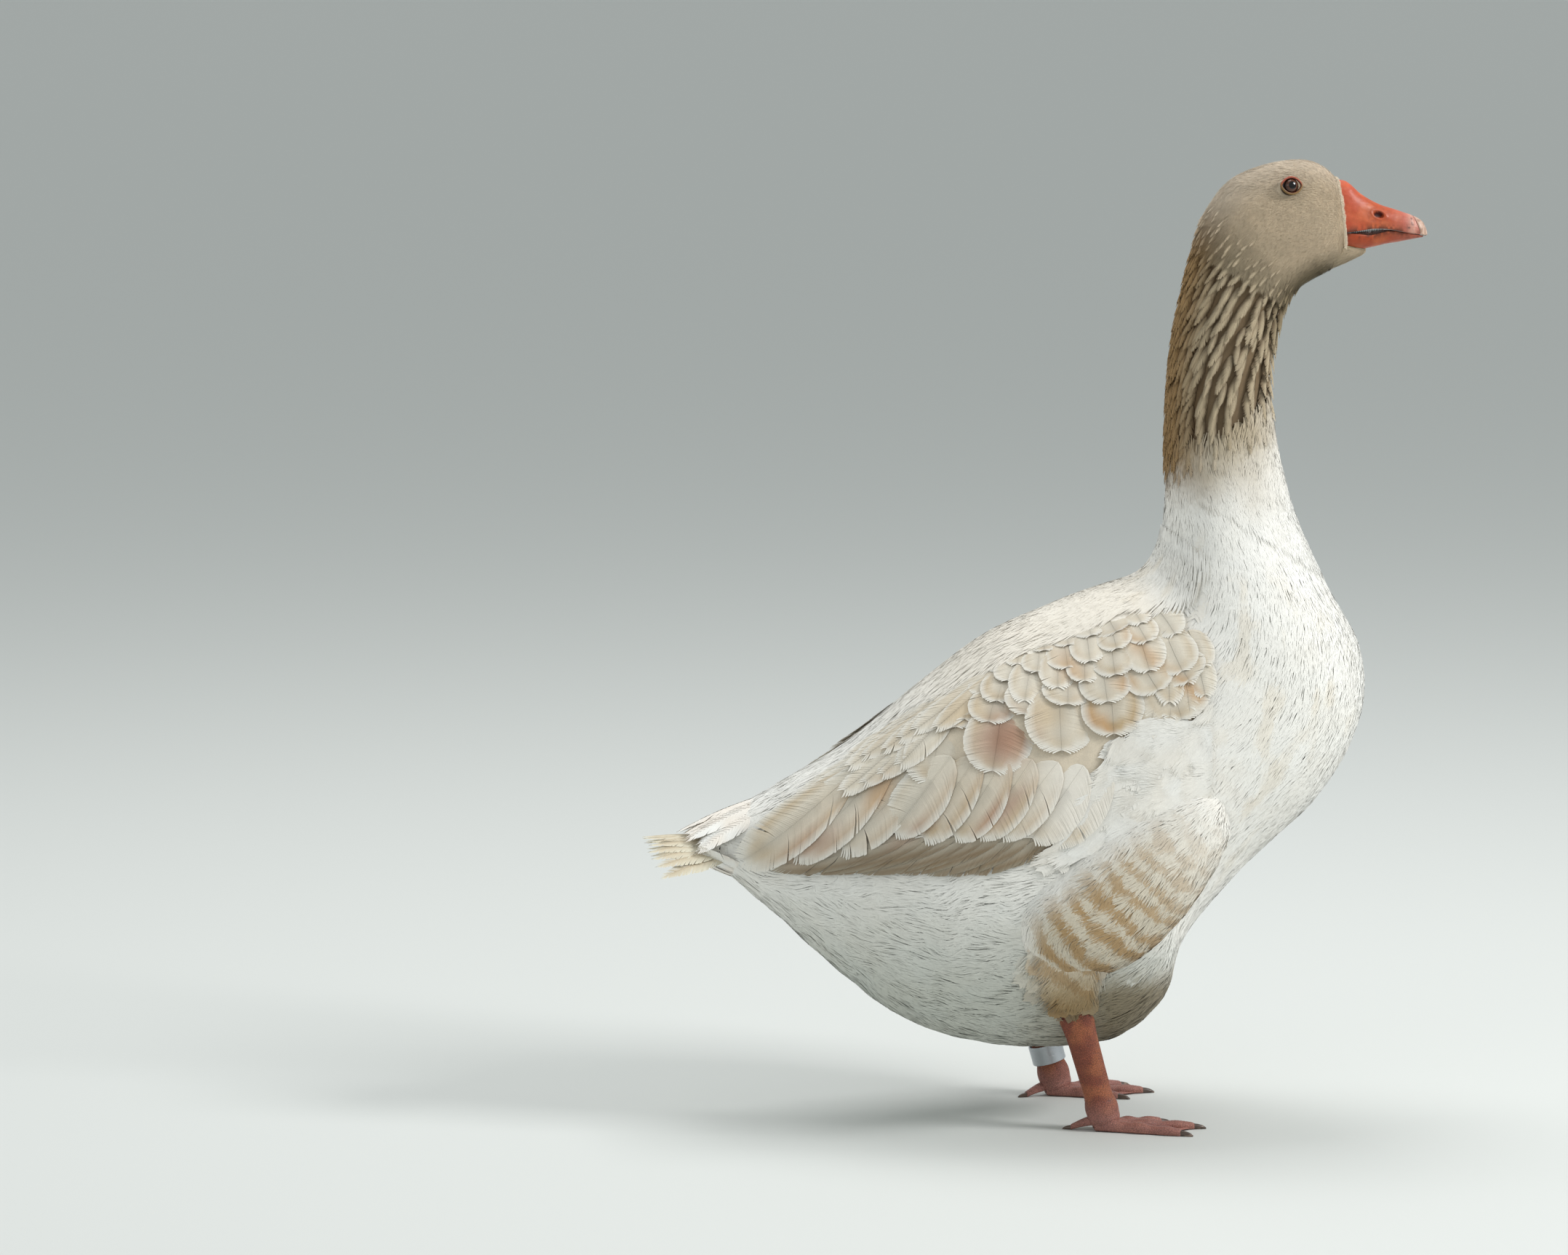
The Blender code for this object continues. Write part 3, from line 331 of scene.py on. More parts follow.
# %% The form
SECTIONS = np.array([
    (-0.2555, 0.2347, -0.2459, 0.1997, 0.0260, 0.50), (-0.2147, 0.2551, -0.2022, 0.1618, 0.0480, 0.50),
    (-0.1438, 0.2934, -0.1533, 0.1143, 0.0780, 0.52), (-0.0890, 0.3355, -0.1010, 0.0732, 0.1020, 0.53),
    (-0.0340, 0.3745, -0.0300, 0.0527, 0.1160, 0.53), (0.0179, 0.3975, 0.0540, 0.0565, 0.1190, 0.52),
    (0.0370, 0.4050, 0.0985, 0.0890, 0.1190, 0.52), (0.0547, 0.4107, 0.1165, 0.1385, 0.1160, 0.51),
    (0.0780, 0.4186, 0.1625, 0.1929, 0.1100, 0.50), (0.0905, 0.4277, 0.2249, 0.2524, 0.1040, 0.50),
    (0.0973, 0.4424, 0.2561, 0.3120, 0.0960, 0.50), (0.1012, 0.4651, 0.2555, 0.3658, 0.0800, 0.50),
    (0.1030, 0.4963, 0.2289, 0.4169, 0.0600, 0.50), (0.1025, 0.5275, 0.2022, 0.4765, 0.0460, 0.50),
    (0.1040, 0.5701, 0.1868, 0.5417, 0.0390, 0.50), (0.1075, 0.6069, 0.1846, 0.5786, 0.0360, 0.50),
    (0.1140, 0.6409, 0.1892, 0.6098, 0.0345, 0.50), (0.1216, 0.6726, 0.1960, 0.6324, 0.0335, 0.50),
    (0.1318, 0.7043, 0.2051, 0.6455, 0.0325, 0.54), (0.1497, 0.7287, 0.2164, 0.6529, 0.0315, 0.58),
    (0.1777, 0.7414, 0.2277, 0.6585, 0.0300, 0.60), (0.2060, 0.7453, 0.2300, 0.6600, 0.0280, 0.58),
    (0.2235, 0.7402, 0.2370, 0.6655, 0.0235, 0.57), (0.2345, 0.7303, 0.2400, 0.6716, 0.0185, 0.56),
])
LAST = len(SECTIONS) - 1.0
CHEEK = 17.3


def smooth_rows(rows, at):
    """Rows read between their whole numbers, on a cubic through each row with its neighbours' slope."""
    slopes = np.gradient(rows, axis=0)
    low = np.clip(np.floor(at).astype(int), 0, len(rows) - 2)
    t = (at - low)[..., None]
    p, q, m, n = rows[low], rows[low + 1], slopes[low], slopes[low + 1]
    return (
        (2 * t**3 - 3 * t**2 + 1) * p + (t**3 - 2 * t**2 + t) * m
        + (3 * t**2 - 2 * t**3) * q + (t**3 - t**2) * n
    )


def form_point(s, phi):
    """Point of the form: from the top point down by a share that follows cos(phi), and out by sin(phi)."""
    top_x, top_z, low_x, low_z, half_width, widest = np.moveaxis(smooth_rows(SECTIONS, s), -1, 0)
    c = np.cos(phi)
    down = np.where(c > 0, widest * (1 - c), widest - (1 - widest) * c)
    turned = np.abs(signed(phi))
    down = down - 0.045 * bell(s, 3.2, 1.5) * bell(turned, math.pi, 0.24)
    return np.stack([
        top_x + (low_x - top_x) * down, half_width * np.sin(phi), top_z + (low_z - top_z) * down,
    ], -1)


def make_table(surface, u_ends, v_ends, rows, columns):
    """A surface kept as a fine table of point, outward normal and size of a step, for quick reading."""
    u, v = np.linspace(*u_ends, rows), np.linspace(*v_ends, columns)
    grid = surface(*grid_of(u, v))
    along, across = np.gradient(grid, u, axis=0), np.gradient(grid, v, axis=1)
    sizes = [np.linalg.norm(a, axis=-1, keepdims=True) for a in (along, across)]
    values = np.concatenate([grid, unit(np.cross(along, across)), *sizes], -1)
    return {"u": u_ends, "v": v_ends, "values": values}


def read_table(table, u, v):
    """Values between the table's rows and columns, blended from the nearest four."""
    rows, columns = table["values"].shape[:2]
    r = np.clip((u - table["u"][0]) / (table["u"][1] - table["u"][0]), 0, 1) * (rows - 1)
    c = np.clip((v - table["v"][0]) / (table["v"][1] - table["v"][0]), 0, 1) * (columns - 1)
    r0, c0 = np.minimum(r.astype(int), rows - 2), np.minimum(c.astype(int), columns - 2)
    a, b = (r - r0)[..., None], (c - c0)[..., None]
    grid = table["values"]
    return (
        (grid[r0, c0] * (1 - b) + grid[r0, c0 + 1] * b) * (1 - a)
        + (grid[r0 + 1, c0] * (1 - b) + grid[r0 + 1, c0 + 1] * b) * a
    )


def read_surface(table, u, v):
    """Point, unit normal and sizes of a step along u and v at a place on the surface."""
    values = read_table(table, u, v)
    return values[..., :3], unit(values[..., 3:6]), values[..., 6], values[..., 7]


form_table = make_table(form_point, (0.0, LAST), (-0.3, FULL_TURN + 0.3), 600, 260)


def on_form(s, phi):
    """Point, normal and step sizes on the form."""
    return read_surface(form_table, s, np.mod(phi, FULL_TURN))


print("form table:", form_table["values"].shape)

# %% [markdown]
# ## Thighs
# A goose's thigh lies along the flank under a long lobe of feathers, and only the end of it leaves the body.
# It is a tube along a bent path: u runs from 1 at its front end, inside the flank, to 0 at the ankle, so that
# here too feathers lie towards smaller u.

# %% Legs' places and the thigh lobe
LEG_SPREAD = 0.072
LEFT_LEG_BACK = 0.017
FOOT_JOINT = (0.0437, 0.0205)
ANKLE = (0.0215, 0.0990)
THIGH_PATH = ((0.130, 0.088, 0.268, 0.012, 0.72), (0.114, 0.091, 0.252, 0.033, 0.72),
              (0.078, 0.095, 0.216, 0.047, 0.74), (0.040, 0.095, 0.182, 0.051, 0.80),
              (0.008, 0.091, 0.152, 0.046, 1.05))
SIDES = (("left", 1, LEFT_LEG_BACK), ("right", -1, 0.0))


def leg_points(back):
    """Foot joint, ankle and the direction down the leg, for a leg this far behind the right one."""
    joint = np.array([FOOT_JOINT[0] - back, LEG_SPREAD, FOOT_JOINT[1]])
    ankle = np.array([ANKLE[0] - back, LEG_SPREAD, ANKLE[1]])
    return joint, ankle, (joint - ankle) / np.linalg.norm(joint - ankle)


def thigh_surface(side, back):
    """Ovals along the thigh's path. v is 0 on the outer side and grows over the top."""
    joint, ankle, down = leg_points(back)
    rows = [
        (x - back * 0.6, y, z, r, r * 0.78, -math.cos(a), 0.0, -math.sin(a)) for x, y, z, r, a in THIGH_PATH
    ]
    rows.append((*(ankle - down * 0.018), 0.0235, 0.0205, *down))
    rows.append((*(ankle + down * 0.004), 0.0165, 0.0130, *down))
    rows = np.array(rows)[::-1]

    def surface(u, v):
        row = smooth_rows(rows, u * (len(rows) - 1))
        centre, fore, wide, aim = row[..., :3], row[..., 3:4], row[..., 4:5], unit(row[..., 5:8])
        out = np.array([0.0, 1.0, 0.0])
        upward = unit(np.cross(aim, out))
        ring = centre + wide * np.cos(v)[..., None] * out - fore * np.sin(v)[..., None] * upward
        return ring * [1.0, side, 1.0]

    return surface


thigh_tables = {}
for label, side, back in SIDES:
    table = make_table(thigh_surface(side, back), (0.0, 1.0), (-0.3, FULL_TURN + 0.3), 160, 160)
    middle = table["values"][80, 80]
    outward = middle[:3] - thigh_surface(side, back)(np.array(0.5), np.array([0.0, math.pi])).mean(0)
    if middle[3:6] @ outward < 0:
        table["values"][..., 3:6] *= -1
    thigh_tables[label] = table


def on_thigh(label):
    def place(u, v):
        return read_surface(thigh_tables[label], u, np.mod(v, FULL_TURN))
    return place


print("thigh tables:", list(thigh_tables))

# %% [markdown]
# ## Markings
# A buff goose is white below and beige above, and where its feathers are coloured they have buff centres with
# cream edges. Skin and feathers read the same function, so a gap between feathers shows the same colour, only
# darkened on the skin as painted shade.

# %% Markings
WHITE = linear("#F1F0EB")
CREAM = linear("#E9DFCE")
NECK_BEIGE = linear("#B6A68B")
NAPE_TAN_IN_SHADE = linear("#997B54")
HEAD_BEIGE = linear("#DECAAD")
CROWN_HIGHLIGHT_CREAM = linear("#EADAC4")
CHEEK_SHADE = linear("#A2947A")
FLANK_BUFF = linear("#C4B596")
BAR_OCHRE = linear("#AB8857")
SOILED_BUFF_IN_SHADE = linear("#A3937A")
LOBE_FRONT, LOBE_WAY = np.array([0.130, 0.268]), np.array([-0.725, -0.689])


def blend(first, second, share):
    return first + (second - first) * np.asarray(share)[..., None]


def shaded(tint, factors, share):
    """The tint, multiplied by a share of these factors for red, green and blue."""
    return tint * blend(np.ones(3), np.array(factors), share)


def rope_begins(phi):
    """Section at which the neck's ropes begin above the breast: lower at the nape than at the throat."""
    round_it = np.abs(signed(phi))
    return np.interp(round_it, (0.0, 1.0, 2.2, math.pi), (12.6, 12.85, 13.7, 14.35))


BAR_SPACING = 0.0165


def flank_bars(place):
    """Strength of the ochre bars across the thigh lobe, and fainter ones on the breast ahead of it.

    They are bands 16.5 mm apart along the lobe, and they bend back as they go down.
    """
    from_front = place[..., [0, 2]] - LOBE_FRONT
    along = from_front @ LOBE_WAY
    across = from_front @ np.array([-LOBE_WAY[1], LOBE_WAY[0]])
    phase = along / BAR_SPACING + (across / 0.06) ** 2 + 0.5 * (cloudiness(place, 0.02, 5) - 0.5)
    band = smooth_step(0.15, 0.90, 0.5 + 0.5 * np.cos(FULL_TURN * phase))
    reach = smooth_step(0.02, 0.15, along)
    return band * (0.08 + 0.92 * reach) * smooth_step(-0.05, -0.02, along), along


def form_tint(s, phi):
    """Colour of the plumage at a place on the form, with a painted highlight on the crown and painted shade
    on the nape, the throat and the belly's underside.
    """
    place = on_form(s, phi)[0]
    round_it = np.abs(signed(phi))
    patchy = cloudiness(place, 0.018) - 0.5
    tint = blend(WHITE, CREAM, 0.12 + 0.2 * patchy)
    streak = smooth_step(0.60, 0.85, cloudiness(place * [1.0, 1.0, 0.35], 0.010, 3))
    on_breast = smooth_step(6.5, 8.0, s) * smooth_step(12.0, 10.5, s) * smooth_step(2.8, 2.2, round_it)
    tint = blend(tint, linear("#E2D2B6"), 0.30 * streak * on_breast)
    bars, along = flank_bars(place)
    beside_lobe = (place[..., 2] < 0.30) * (place[..., 2] > 0.20) * smooth_step(0.02, -0.02, along)
    tint = blend(tint, BAR_OCHRE, 0.9 * bars * beside_lobe * (np.abs(np.sin(round_it)) > 0.75))
    on_back = smooth_step(1.1, 0.5, round_it) * smooth_step(9.6, 7.8, s) * smooth_step(2.0, 4.0, s)
    tint = blend(tint, CREAM, 0.6 * on_back)
    # Low on the belly near the legs the white turns to a dull buff: real soiling, deepened as painted shade.
    low = smooth_step(0.145, 0.110, place[..., 2]) * smooth_step(3.9, 5.2, s) * smooth_step(7.2, 6.6, s)
    tint = blend(tint, SOILED_BUFF_IN_SHADE, 0.95 * low)
    # The underside is darkened and turned a little green: painted shade and a painted cast of light off
    # grass, over some real greyness of the belly.
    underside_shade_and_soil = smooth_step(0.22, 0.09, place[..., 2]) * smooth_step(7.5, 5.5, s)
    tint = shaded(tint, [0.66, 0.69, 0.66], underside_shade_and_soil)
    begins = 12.0 + 2.1 * (round_it / math.pi) ** 1.2 + 0.5 * patchy
    on_neck = smooth_step(begins - 0.7, begins + 1.1, s)
    # The nape is really tan, and its colour is darkened further as painted shade on the side turned away from
    # the light.
    neck = blend(NAPE_TAN_IN_SHADE, NECK_BEIGE, smooth_step(0.3, 1.3, round_it))
    tint = blend(tint, neck, on_neck)
    # The crown is lighter than the sides: a painted highlight where the light falls from above.
    head = blend(CROWN_HIGHLIGHT_CREAM, HEAD_BEIGE, smooth_step(0.3, 1.1, round_it))
    head = blend(head, CHEEK_SHADE, 0.15 * bell(s, 18.4, 1.0) * smooth_step(0.9, 1.6, round_it))
    head = blend(head, CHEEK_SHADE, 0.9 * smooth_step(2.0, 2.8, round_it) * smooth_step(22.6, 21.6, s))
    tint = blend(tint, head, smooth_step(17.2, 18.8, s))
    # The throat below the head is darkened as painted shade.
    throat_shade = smooth_step(2.0, 2.7, round_it) * smooth_step(15.4, 17.0, s) * smooth_step(21.5, 19.5, s)
    return shaded(tint, [0.52, 0.50, 0.44], throat_shade)


def thigh_tint(label, u, v):
    """Colour on the thigh lobe: white on its upper edge, barred below, and olive brown underneath and dark
    brown towards the leg, which is painted shade over the lobe's buff.
    """
    place, _, _, _ = on_thigh(label)(u, v)
    round_it = np.abs(signed(v))
    under = (np.sin(v) < 0) * round_it / math.pi
    tint = blend(WHITE, CREAM, 0.15 + 0.3 * (cloudiness(place, 0.018) - 0.5))
    lower = 1 - smooth_step(0.25, 0.80, np.sin(v))
    rear = smooth_step(0.10, 0.50, 1 - u)
    bars, _ = flank_bars(place)
    tint = blend(tint, FLANK_BUFF, 0.65 * lower * rear)
    tint = blend(tint, BAR_OCHRE, 0.84 * bars * lower * smooth_step(0.98, 0.88, 1 - u))
    # Painted shade: the lobe's underside is darkened to olive brown towards its rear.
    tint = blend(tint, linear("#8E7A5E"), 0.6 * smooth_step(0.45, 0.8, under) * rear)
    # Painted shade: the end of the lobe by the leg, under its overhang, is darkened to dark golden brown.
    return blend(tint, linear("#7A6445"), 0.9 * smooth_step(0.24, 0.10, u))


# %% [markdown]
# ## One skin
# The skin is one closed surface that stays inside the solids by the depth of the coat: 5 mm on the trunk and
# under 1 mm at the bill. The head has more shape than its plain sections give, so it gets a hollow round the
# eye, a brow, a full cheek and a faint groove behind the eye.

# %% Skin
EYE_CENTRE = np.array([0.1935, 0.0226, 0.7255])
EYE_RADIUS = 0.0070
EYE_FRAME = np.array([(0.982, -0.186, 0.0), (0.182, 0.963, 0.199), (-0.037, -0.195, 0.980)])


def coat_depth(s):
    return np.interp(s, (0.0, 11.5, 13.5, 16.8, 18.2, 23.0), (0.0050, 0.0050, 0.0048, 0.0042, 0.0014, 0.0006))


def head_relief(place):
    """Small swellings and hollows of the head, as bells of distance: brow, cheek, eye hollow, its groove."""
    x, y, z = place[..., 0], np.abs(place[..., 1]), place[..., 2]
    from_eye = np.hypot(x - EYE_CENTRE[0], z - EYE_CENTRE[2])
    out = y > 0.008
    hollow = -0.0016 * bell(from_eye, 0.0, 0.013)
    brow = 0.0011 * bell(x, 0.190, 0.016) * bell(z, 0.7375, 0.005)
    cheek = 0.0012 * bell(x, 0.186, 0.020) * bell(z, 0.695, 0.016)
    groove = -0.0011 * bell(z, 0.7265 - 0.18 * (0.190 - x), 0.004) * smooth_step(0.186, 0.172, x)
    return (hollow + brow + cheek + groove * smooth_step(0.135, 0.155, x)) * out


def skin_point(s, phi):
    """Point of the skin, inside the form by the depth of the coat."""
    place, out, _, _ = on_form(s, phi)
    on_head = smooth_step(17.5, 18.5, s)
    raised = head_relief(place) * on_head - coat_depth(s)
    return place + out * raised[..., None]


def chin_point(u, v):
    """Feathered wedge under the lower bill: u is 0 at the chin, 1 at its point, v 0 and pi at the rims."""
    x = 0.2300 + 0.0280 * u
    wide = 0.0150 * np.clip(1 - u, 0, 1) ** 0.6 + 0.0012
    top = 0.6790
    low = np.interp(x, (0.230, 0.242, 0.258), (0.6612, 0.6660, 0.6736))
    return np.stack([x, wide * np.cos(v), top - (top - low) * np.abs(np.sin(v)) ** 0.8], -1)


rows, columns = 190, 80
s_grid, phi_grid = grid_of(np.linspace(0.02, LAST - 0.01, rows), turns(columns))
rings = skin_point(s_grid, phi_grid)
closing = np.array([(0.30, -0.0030), (0.65, -0.0026), (0.90, -0.0016)])
hub = rings[0].mean(0)
tail_end = hub + (rings[0] - hub) * closing[:, :1, None] + [1, 0, 0] * closing[:, 1:, None]
# Painted shade: the skin is darkened a little all over, as it shows only deep between feathers, and much more
# in the neck's furrows.
furrow_shade = smooth_step(-0.3, 0.5, s_grid - rope_begins(phi_grid)) * smooth_step(18.4, 17.2, s_grid)
under = form_tint(s_grid, phi_grid) * blend(np.full(3, 0.90), np.array([0.42, 0.36, 0.31]), furrow_shade)
tint = np.concatenate([np.tile(WHITE, (3 * columns, 1)), under.reshape(-1, 3), np.tile(HEAD_BEIGE, (2, 1))])
body = closed_tube(np.concatenate([tail_end, rings]))
parts = [(*body[:2], body[2] * [0.78, 1.0], tint)]
for label, side, back in SIDES:
    u, v = grid_of(np.linspace(0.0, 0.985, 70), turns(48))
    place, out, _, _ = on_thigh(label)(u, v)
    lobe = closed_tube(place - out * np.interp(u, (0, 0.2, 1), (0.001, 0.004, 0.004))[..., None])
    # Painted shade: the lobe's skin is darkened a little, as it shows only between feathers.
    tint = np.concatenate([thigh_tint(label, u, v).reshape(-1, 3) * 0.86, np.tile(CREAM, (2, 1))])
    parts.append((*lobe[:2], lobe[2] * [0.2, 0.45] + [0.79, 0.47 * (side > 0)], tint))
chin = chin_point(*grid_of(np.linspace(0, 1, 20), np.linspace(0, math.pi, 30)))
chin = closed_tube(chin)
parts.append((*chin[:2], chin[2] * [0.2, 0.05] + [0.79, 0.94], CHEEK_SHADE))
points, faces, uv, tint = join(parts)
add_piece("skin", points, faces, skin_down, tint, uv,
          ("torso", "neck", "head", "thigh_left", "thigh_right"))

# %% [markdown]
# ## How a feather is made
# A feather starts as a centre line that walks over the form from its root, along the lie of the coat. Across
# it stands a width that follows a profile. Two kinds are made: a strand is one narrow tapered blade, for
# down and short plumage. A vane has a shaft and many barbs on each side, each a tapered strip that leaves the
# shaft at a slant, so that it looks and splits like a real one.

# %% Centre lines and strands


def walk(place_on, u, v, turn, length, steps):
    """Centre lines down the lie: each step moves length / steps on the surface, turned aside by turn.

    A step is tried first. The distance that it really covers then says what share of it is taken.
    """
    line, out = [], []
    step = length / steps
    for _ in range(steps + 1):
        place, normal, along, across = place_on(u, v)
        line.append(place)
        out.append(normal)
        by_u, by_v = -np.cos(turn) * step / along, np.sin(turn) * step / across
        for _ in range(2):
            moved = np.linalg.norm(place_on(u + by_u, v + by_v)[0] - place, axis=-1)
            share = np.clip(step / np.maximum(moved, 1e-6), 0.2, 1.3)
            by_u, by_v = by_u * share, by_v * share
        u, v = u + by_u, v + by_v
    return np.stack(line, 1), np.stack(out, 1)


def across_lines(line, out):
    """Unit directions across each centre line, square to it and to the normals."""
    return unit(np.cross(out, unit(np.gradient(line, axis=1))))


PATCH = 0.003      # side of the patch that a feather has on the bake map


def ribbon_faces(count, stations):
    """Quads (count, stations - 1, 4) of ribbons in a row, each with a pair of points at every station."""
    base = np.arange(count)[:, None] * stations * 2
    k = np.arange(stations - 1) * 2
    return np.stack([base + k, base + k + 1, base + k + 3, base + k + 2], -1)


def root_patches(root_uv, feather, quads):
    """A small patch at each feather's root on the bake map, for all its faces."""
    corner = np.array([(0, 0), (1, 0), (1, 1), (0, 1)]) * PATCH
    return (root_uv[feather[quads[:, 0]]][:, None] + corner).reshape(-1, 2)


def strands(line, out, half_width, heights, tilt, root_uv):
    """Tapered blades. heights lifts each station off the line, and tilt rolls the blade about its length.

    The width follows sin(pi * t) to the power 0.7, with t from 0.14 at the root to 1 at the tip.
    """
    count, stations = line.shape[:2]
    across = across_lines(line, out)
    t = np.linspace(0.14, 1.0, stations)
    width = np.sin(np.pi * t) ** 0.7 * half_width[:, None]
    width[:, -1] = half_width * 0.06
    side = across * np.cos(tilt)[:, None, None] + out * np.sin(tilt)[:, None, None]
    middle = line + out * heights[..., None]
    pair = np.stack([middle - side * width[..., None], middle + side * width[..., None]], 2)
    points = pair.reshape(-1, 3)
    quads = ribbon_faces(count, stations).reshape(-1, 4)
    return points, quads, root_patches(root_uv, np.repeat(np.arange(count), stations * 2), quads)


# %% [markdown]
# ## The vane
# Barb j on a side leaves the shaft at t_root and ends on the feather's outline at t_tip. Between them a
# point's place is y, its share of the way to the outline. The vane is arched: a point's height falls by y
# squared. A few splits push neighbouring barbs apart near the edge.

# %% Vanes


def at_station(values, t):
    """Values (n, k, ...) along centre lines, read at t (n, m) from 0 to 1."""
    last = values.shape[1] - 1
    at = np.clip(t, 0, 1) * last
    low = np.minimum(at.astype(int), last - 1)
    part = (at - low)[..., None]
    rows = np.arange(len(values))[:, None]
    return values[rows, low] * (1 - part) + values[rows, low + 1] * part


def outline_of(t, fullest, blunt):
    """Half width of a vane along its length: rises to 1 at fullest, and falls as an ellipse to the tip."""
    rise = np.clip(t / fullest, 0, 1)
    fall = np.clip((t - fullest) / (1 - fullest), 0, 1)
    return (0.35 + 0.65 * np.sin(rise * math.pi / 2)) * np.maximum(1 - fall**blunt, 0) ** (1 / blunt)


def vanes(line, out, half_width, arch, barbs, sweep, fullest=0.55, blunt=2.3, roll=0.0, splits=2, fray=0.3,
          shaft=0.0006, steps=4, ridge=0.00012, barb_tip=0.30):
    """Feathers with barbs. Returns points, quads, and for each point its feather, t and signed y.

    barb_tip is the half width of a barb's end as a share of the spacing: above 0.5 the ends overlap.
    """
    count = len(line)
    across = across_lines(line, out)
    roll = np.broadcast_to(roll, count)[:, None, None]
    side_way = across * np.cos(roll) + out * np.sin(roll)
    lift_way = out * np.cos(roll) - across * np.sin(roll)
    j = (np.arange(barbs) + 1.0) / barbs
    q = np.linspace(0, 1, steps)
    t_tip = np.broadcast_to(0.10 + 0.90 * j, (count, 2, barbs))
    gap = np.zeros_like(t_tip)
    for _ in range(splits):
        place = draw.uniform(0.25, 0.95, (count, 2, 1))
        size = draw.uniform(0.0, 0.026, (count, 2, 1))
        near = (t_tip - place) / 0.05
        gap += size * np.sign(near) * np.exp(-np.abs(near))
    jitter = draw.normal(0, 1, (count, 2, barbs))
    t_end = t_tip + gap + jitter * fray * 0.012
    t_root = np.clip(t_tip - sweep * np.clip(1.25 - t_tip, 0.25, 1.0), 0.0, 0.97)
    reach = outline_of(np.clip(t_tip, 0, 1), fullest, blunt) * (1 + 0.02 * fray * jitter)
    bend = q**1.25
    t = t_root[..., None] + (t_end - t_root)[..., None] * bend
    y = np.clip(reach, 0.0, None)[..., None] * q**0.9
    sign = np.array([-1.0, 1.0])[None, :, None, None]
    spacing = 0.90 / barbs
    taper = np.interp(q, (0, 0.6, 1.0), (0.62, 0.74, barb_tip)) * spacing
    t_pair = np.stack([t - taper, t + taper], -1)
    y_pair = np.stack([y, y], -1) * sign[..., None]
    flat_t = t_pair.reshape(count, -1)
    flat_y = y_pair.reshape(count, -1)
    centre = at_station(line, flat_t)
    sideways = at_station(side_way, flat_t)
    upward = at_station(lift_way, flat_t)
    ruffle = np.repeat((jitter * 0.00006 * (1 + 2 * fray)).reshape(count, -1), steps * 2, 1)
    depth = -arch * flat_y**2 + ruffle * np.abs(flat_y)
    over = ridge * np.tile(np.array([-1.0, 1.0]), flat_t.shape[1] // 2)
    width = np.broadcast_to(half_width, count)[:, None]
    points = centre + sideways * (flat_y * width)[..., None] + upward * (depth + over)[..., None]
    strips = count * 2 * barbs
    quads = ribbon_faces(strips, steps)
    odd = (np.arange(strips) // barbs) % 2 == 0
    quads[odd] = quads[odd][..., ::-1]
    quads = quads.reshape(-1, 4)
    points = points.reshape(-1, 3)
    feather = np.repeat(np.arange(count), 2 * barbs * steps * 2)
    where_t, where_y = np.clip(flat_t, 0, 1).ravel(), flat_y.ravel()
    if shaft:
        ring = np.array([(-1.0, 0.0), (0.0, 1.0), (1.0, 0.0)])
        stations = 9
        ts = np.broadcast_to(np.linspace(0, 0.97, stations), (count, stations))
        thick = shaft * np.linspace(1.0, 0.25, stations)
        mid, sw, up = at_station(line, ts), at_station(side_way, ts), at_station(lift_way, ts)
        tube = (
            mid[:, :, None] + sw[:, :, None] * (ring[:, 0] * thick[:, None])[None, :, :, None]
            + up[:, :, None] * (ring[:, 1] * thick[:, None] + 0.00012)[None, :, :, None]
        )
        rib = grid_faces(stations, 3)
        rib = (np.arange(count)[:, None, None] * stations * 3 + rib).reshape(-1, 4) + len(points)
        points = np.concatenate([points, tube.reshape(-1, 3)])
        quads = np.concatenate([quads, rib[:, ::-1]])
        feather = np.concatenate([feather, np.repeat(np.arange(count), stations * 3)])
        where_t = np.concatenate([where_t, np.repeat(ts.ravel(), 3)])
        where_y = np.concatenate([where_y, np.zeros(count * stations * 3)])
    return points, quads, feather, where_t, where_y


def along_feather(out, feather, t):
    """The body's normal under each point of some vanes."""
    at = np.round(t * (out.shape[1] - 1)).astype(int)
    return out[feather, at]


def vane_map(feather, t, y, quads, cells):
    """Bake map of large vanes: each has its own cell of a square, its length up and its width across."""
    column, row = feather % cells, feather // cells
    flat = np.stack([(column + 0.5 + 0.42 * y) / cells, (row + 0.06 + 0.88 * t) / cells], -1)
    return flat[quads].reshape(-1, 2)


# %% [markdown]
# ## Body coat
# Contour feathers of the trunk are 25 to 30 mm long and overlap like tiles, so that only soft edges show.
# They grow in rows, each row shifted by half a feather. On top lie fine strands, which break up the edges
# as loose barbs do on the live bird.

# %% Where body feathers stand


def scatter_on_form(s_low, s_high, spacing):
    """Roots on the form about this far apart: rows across it, with jitter, shifted by half in turn."""
    steps = []
    s = s_low
    while s < s_high:
        steps.append(s)
        _, _, along, _ = on_form(np.full(3, s), np.array([0.8, 1.6, 2.4]))
        s += spacing * 0.9 / along.mean()
    roots = []
    for number, s in enumerate(steps):
        _, _, _, across = on_form(np.full(24, s), np.linspace(0, FULL_TURN, 24))
        count = max(int(across.mean() * FULL_TURN / spacing), 3)
        phi = (np.arange(count) + 0.5 * (number % 2)) / count * FULL_TURN
        roots.append(np.stack([np.full(count, s), phi], -1))
    roots = np.concatenate(roots)
    _, _, along, across = on_form(roots[:, 0], roots[:, 1])
    jitter = draw.normal(0, spacing * 0.16, (len(roots), 2))
    return roots[:, 0] + jitter[:, 0] / along, roots[:, 1] + jitter[:, 1] / across


def form_lie(s, phi):
    """How far feathers turn aside from straight back, in radians: down over the flank and along the belly."""
    round_it = signed(phi)
    side = np.sign(round_it)
    flank = bell(np.abs(round_it), 1.5, 0.8) * smooth_step(4.0, 8.0, s) * smooth_step(11.5, 9.5, s)
    neck = smooth_step(12.5, 14.5, s) * smooth_step(19.0, 17.5, s) * np.abs(np.sin(round_it))
    return side * (0.18 * flank) - side * 0.34 * neck


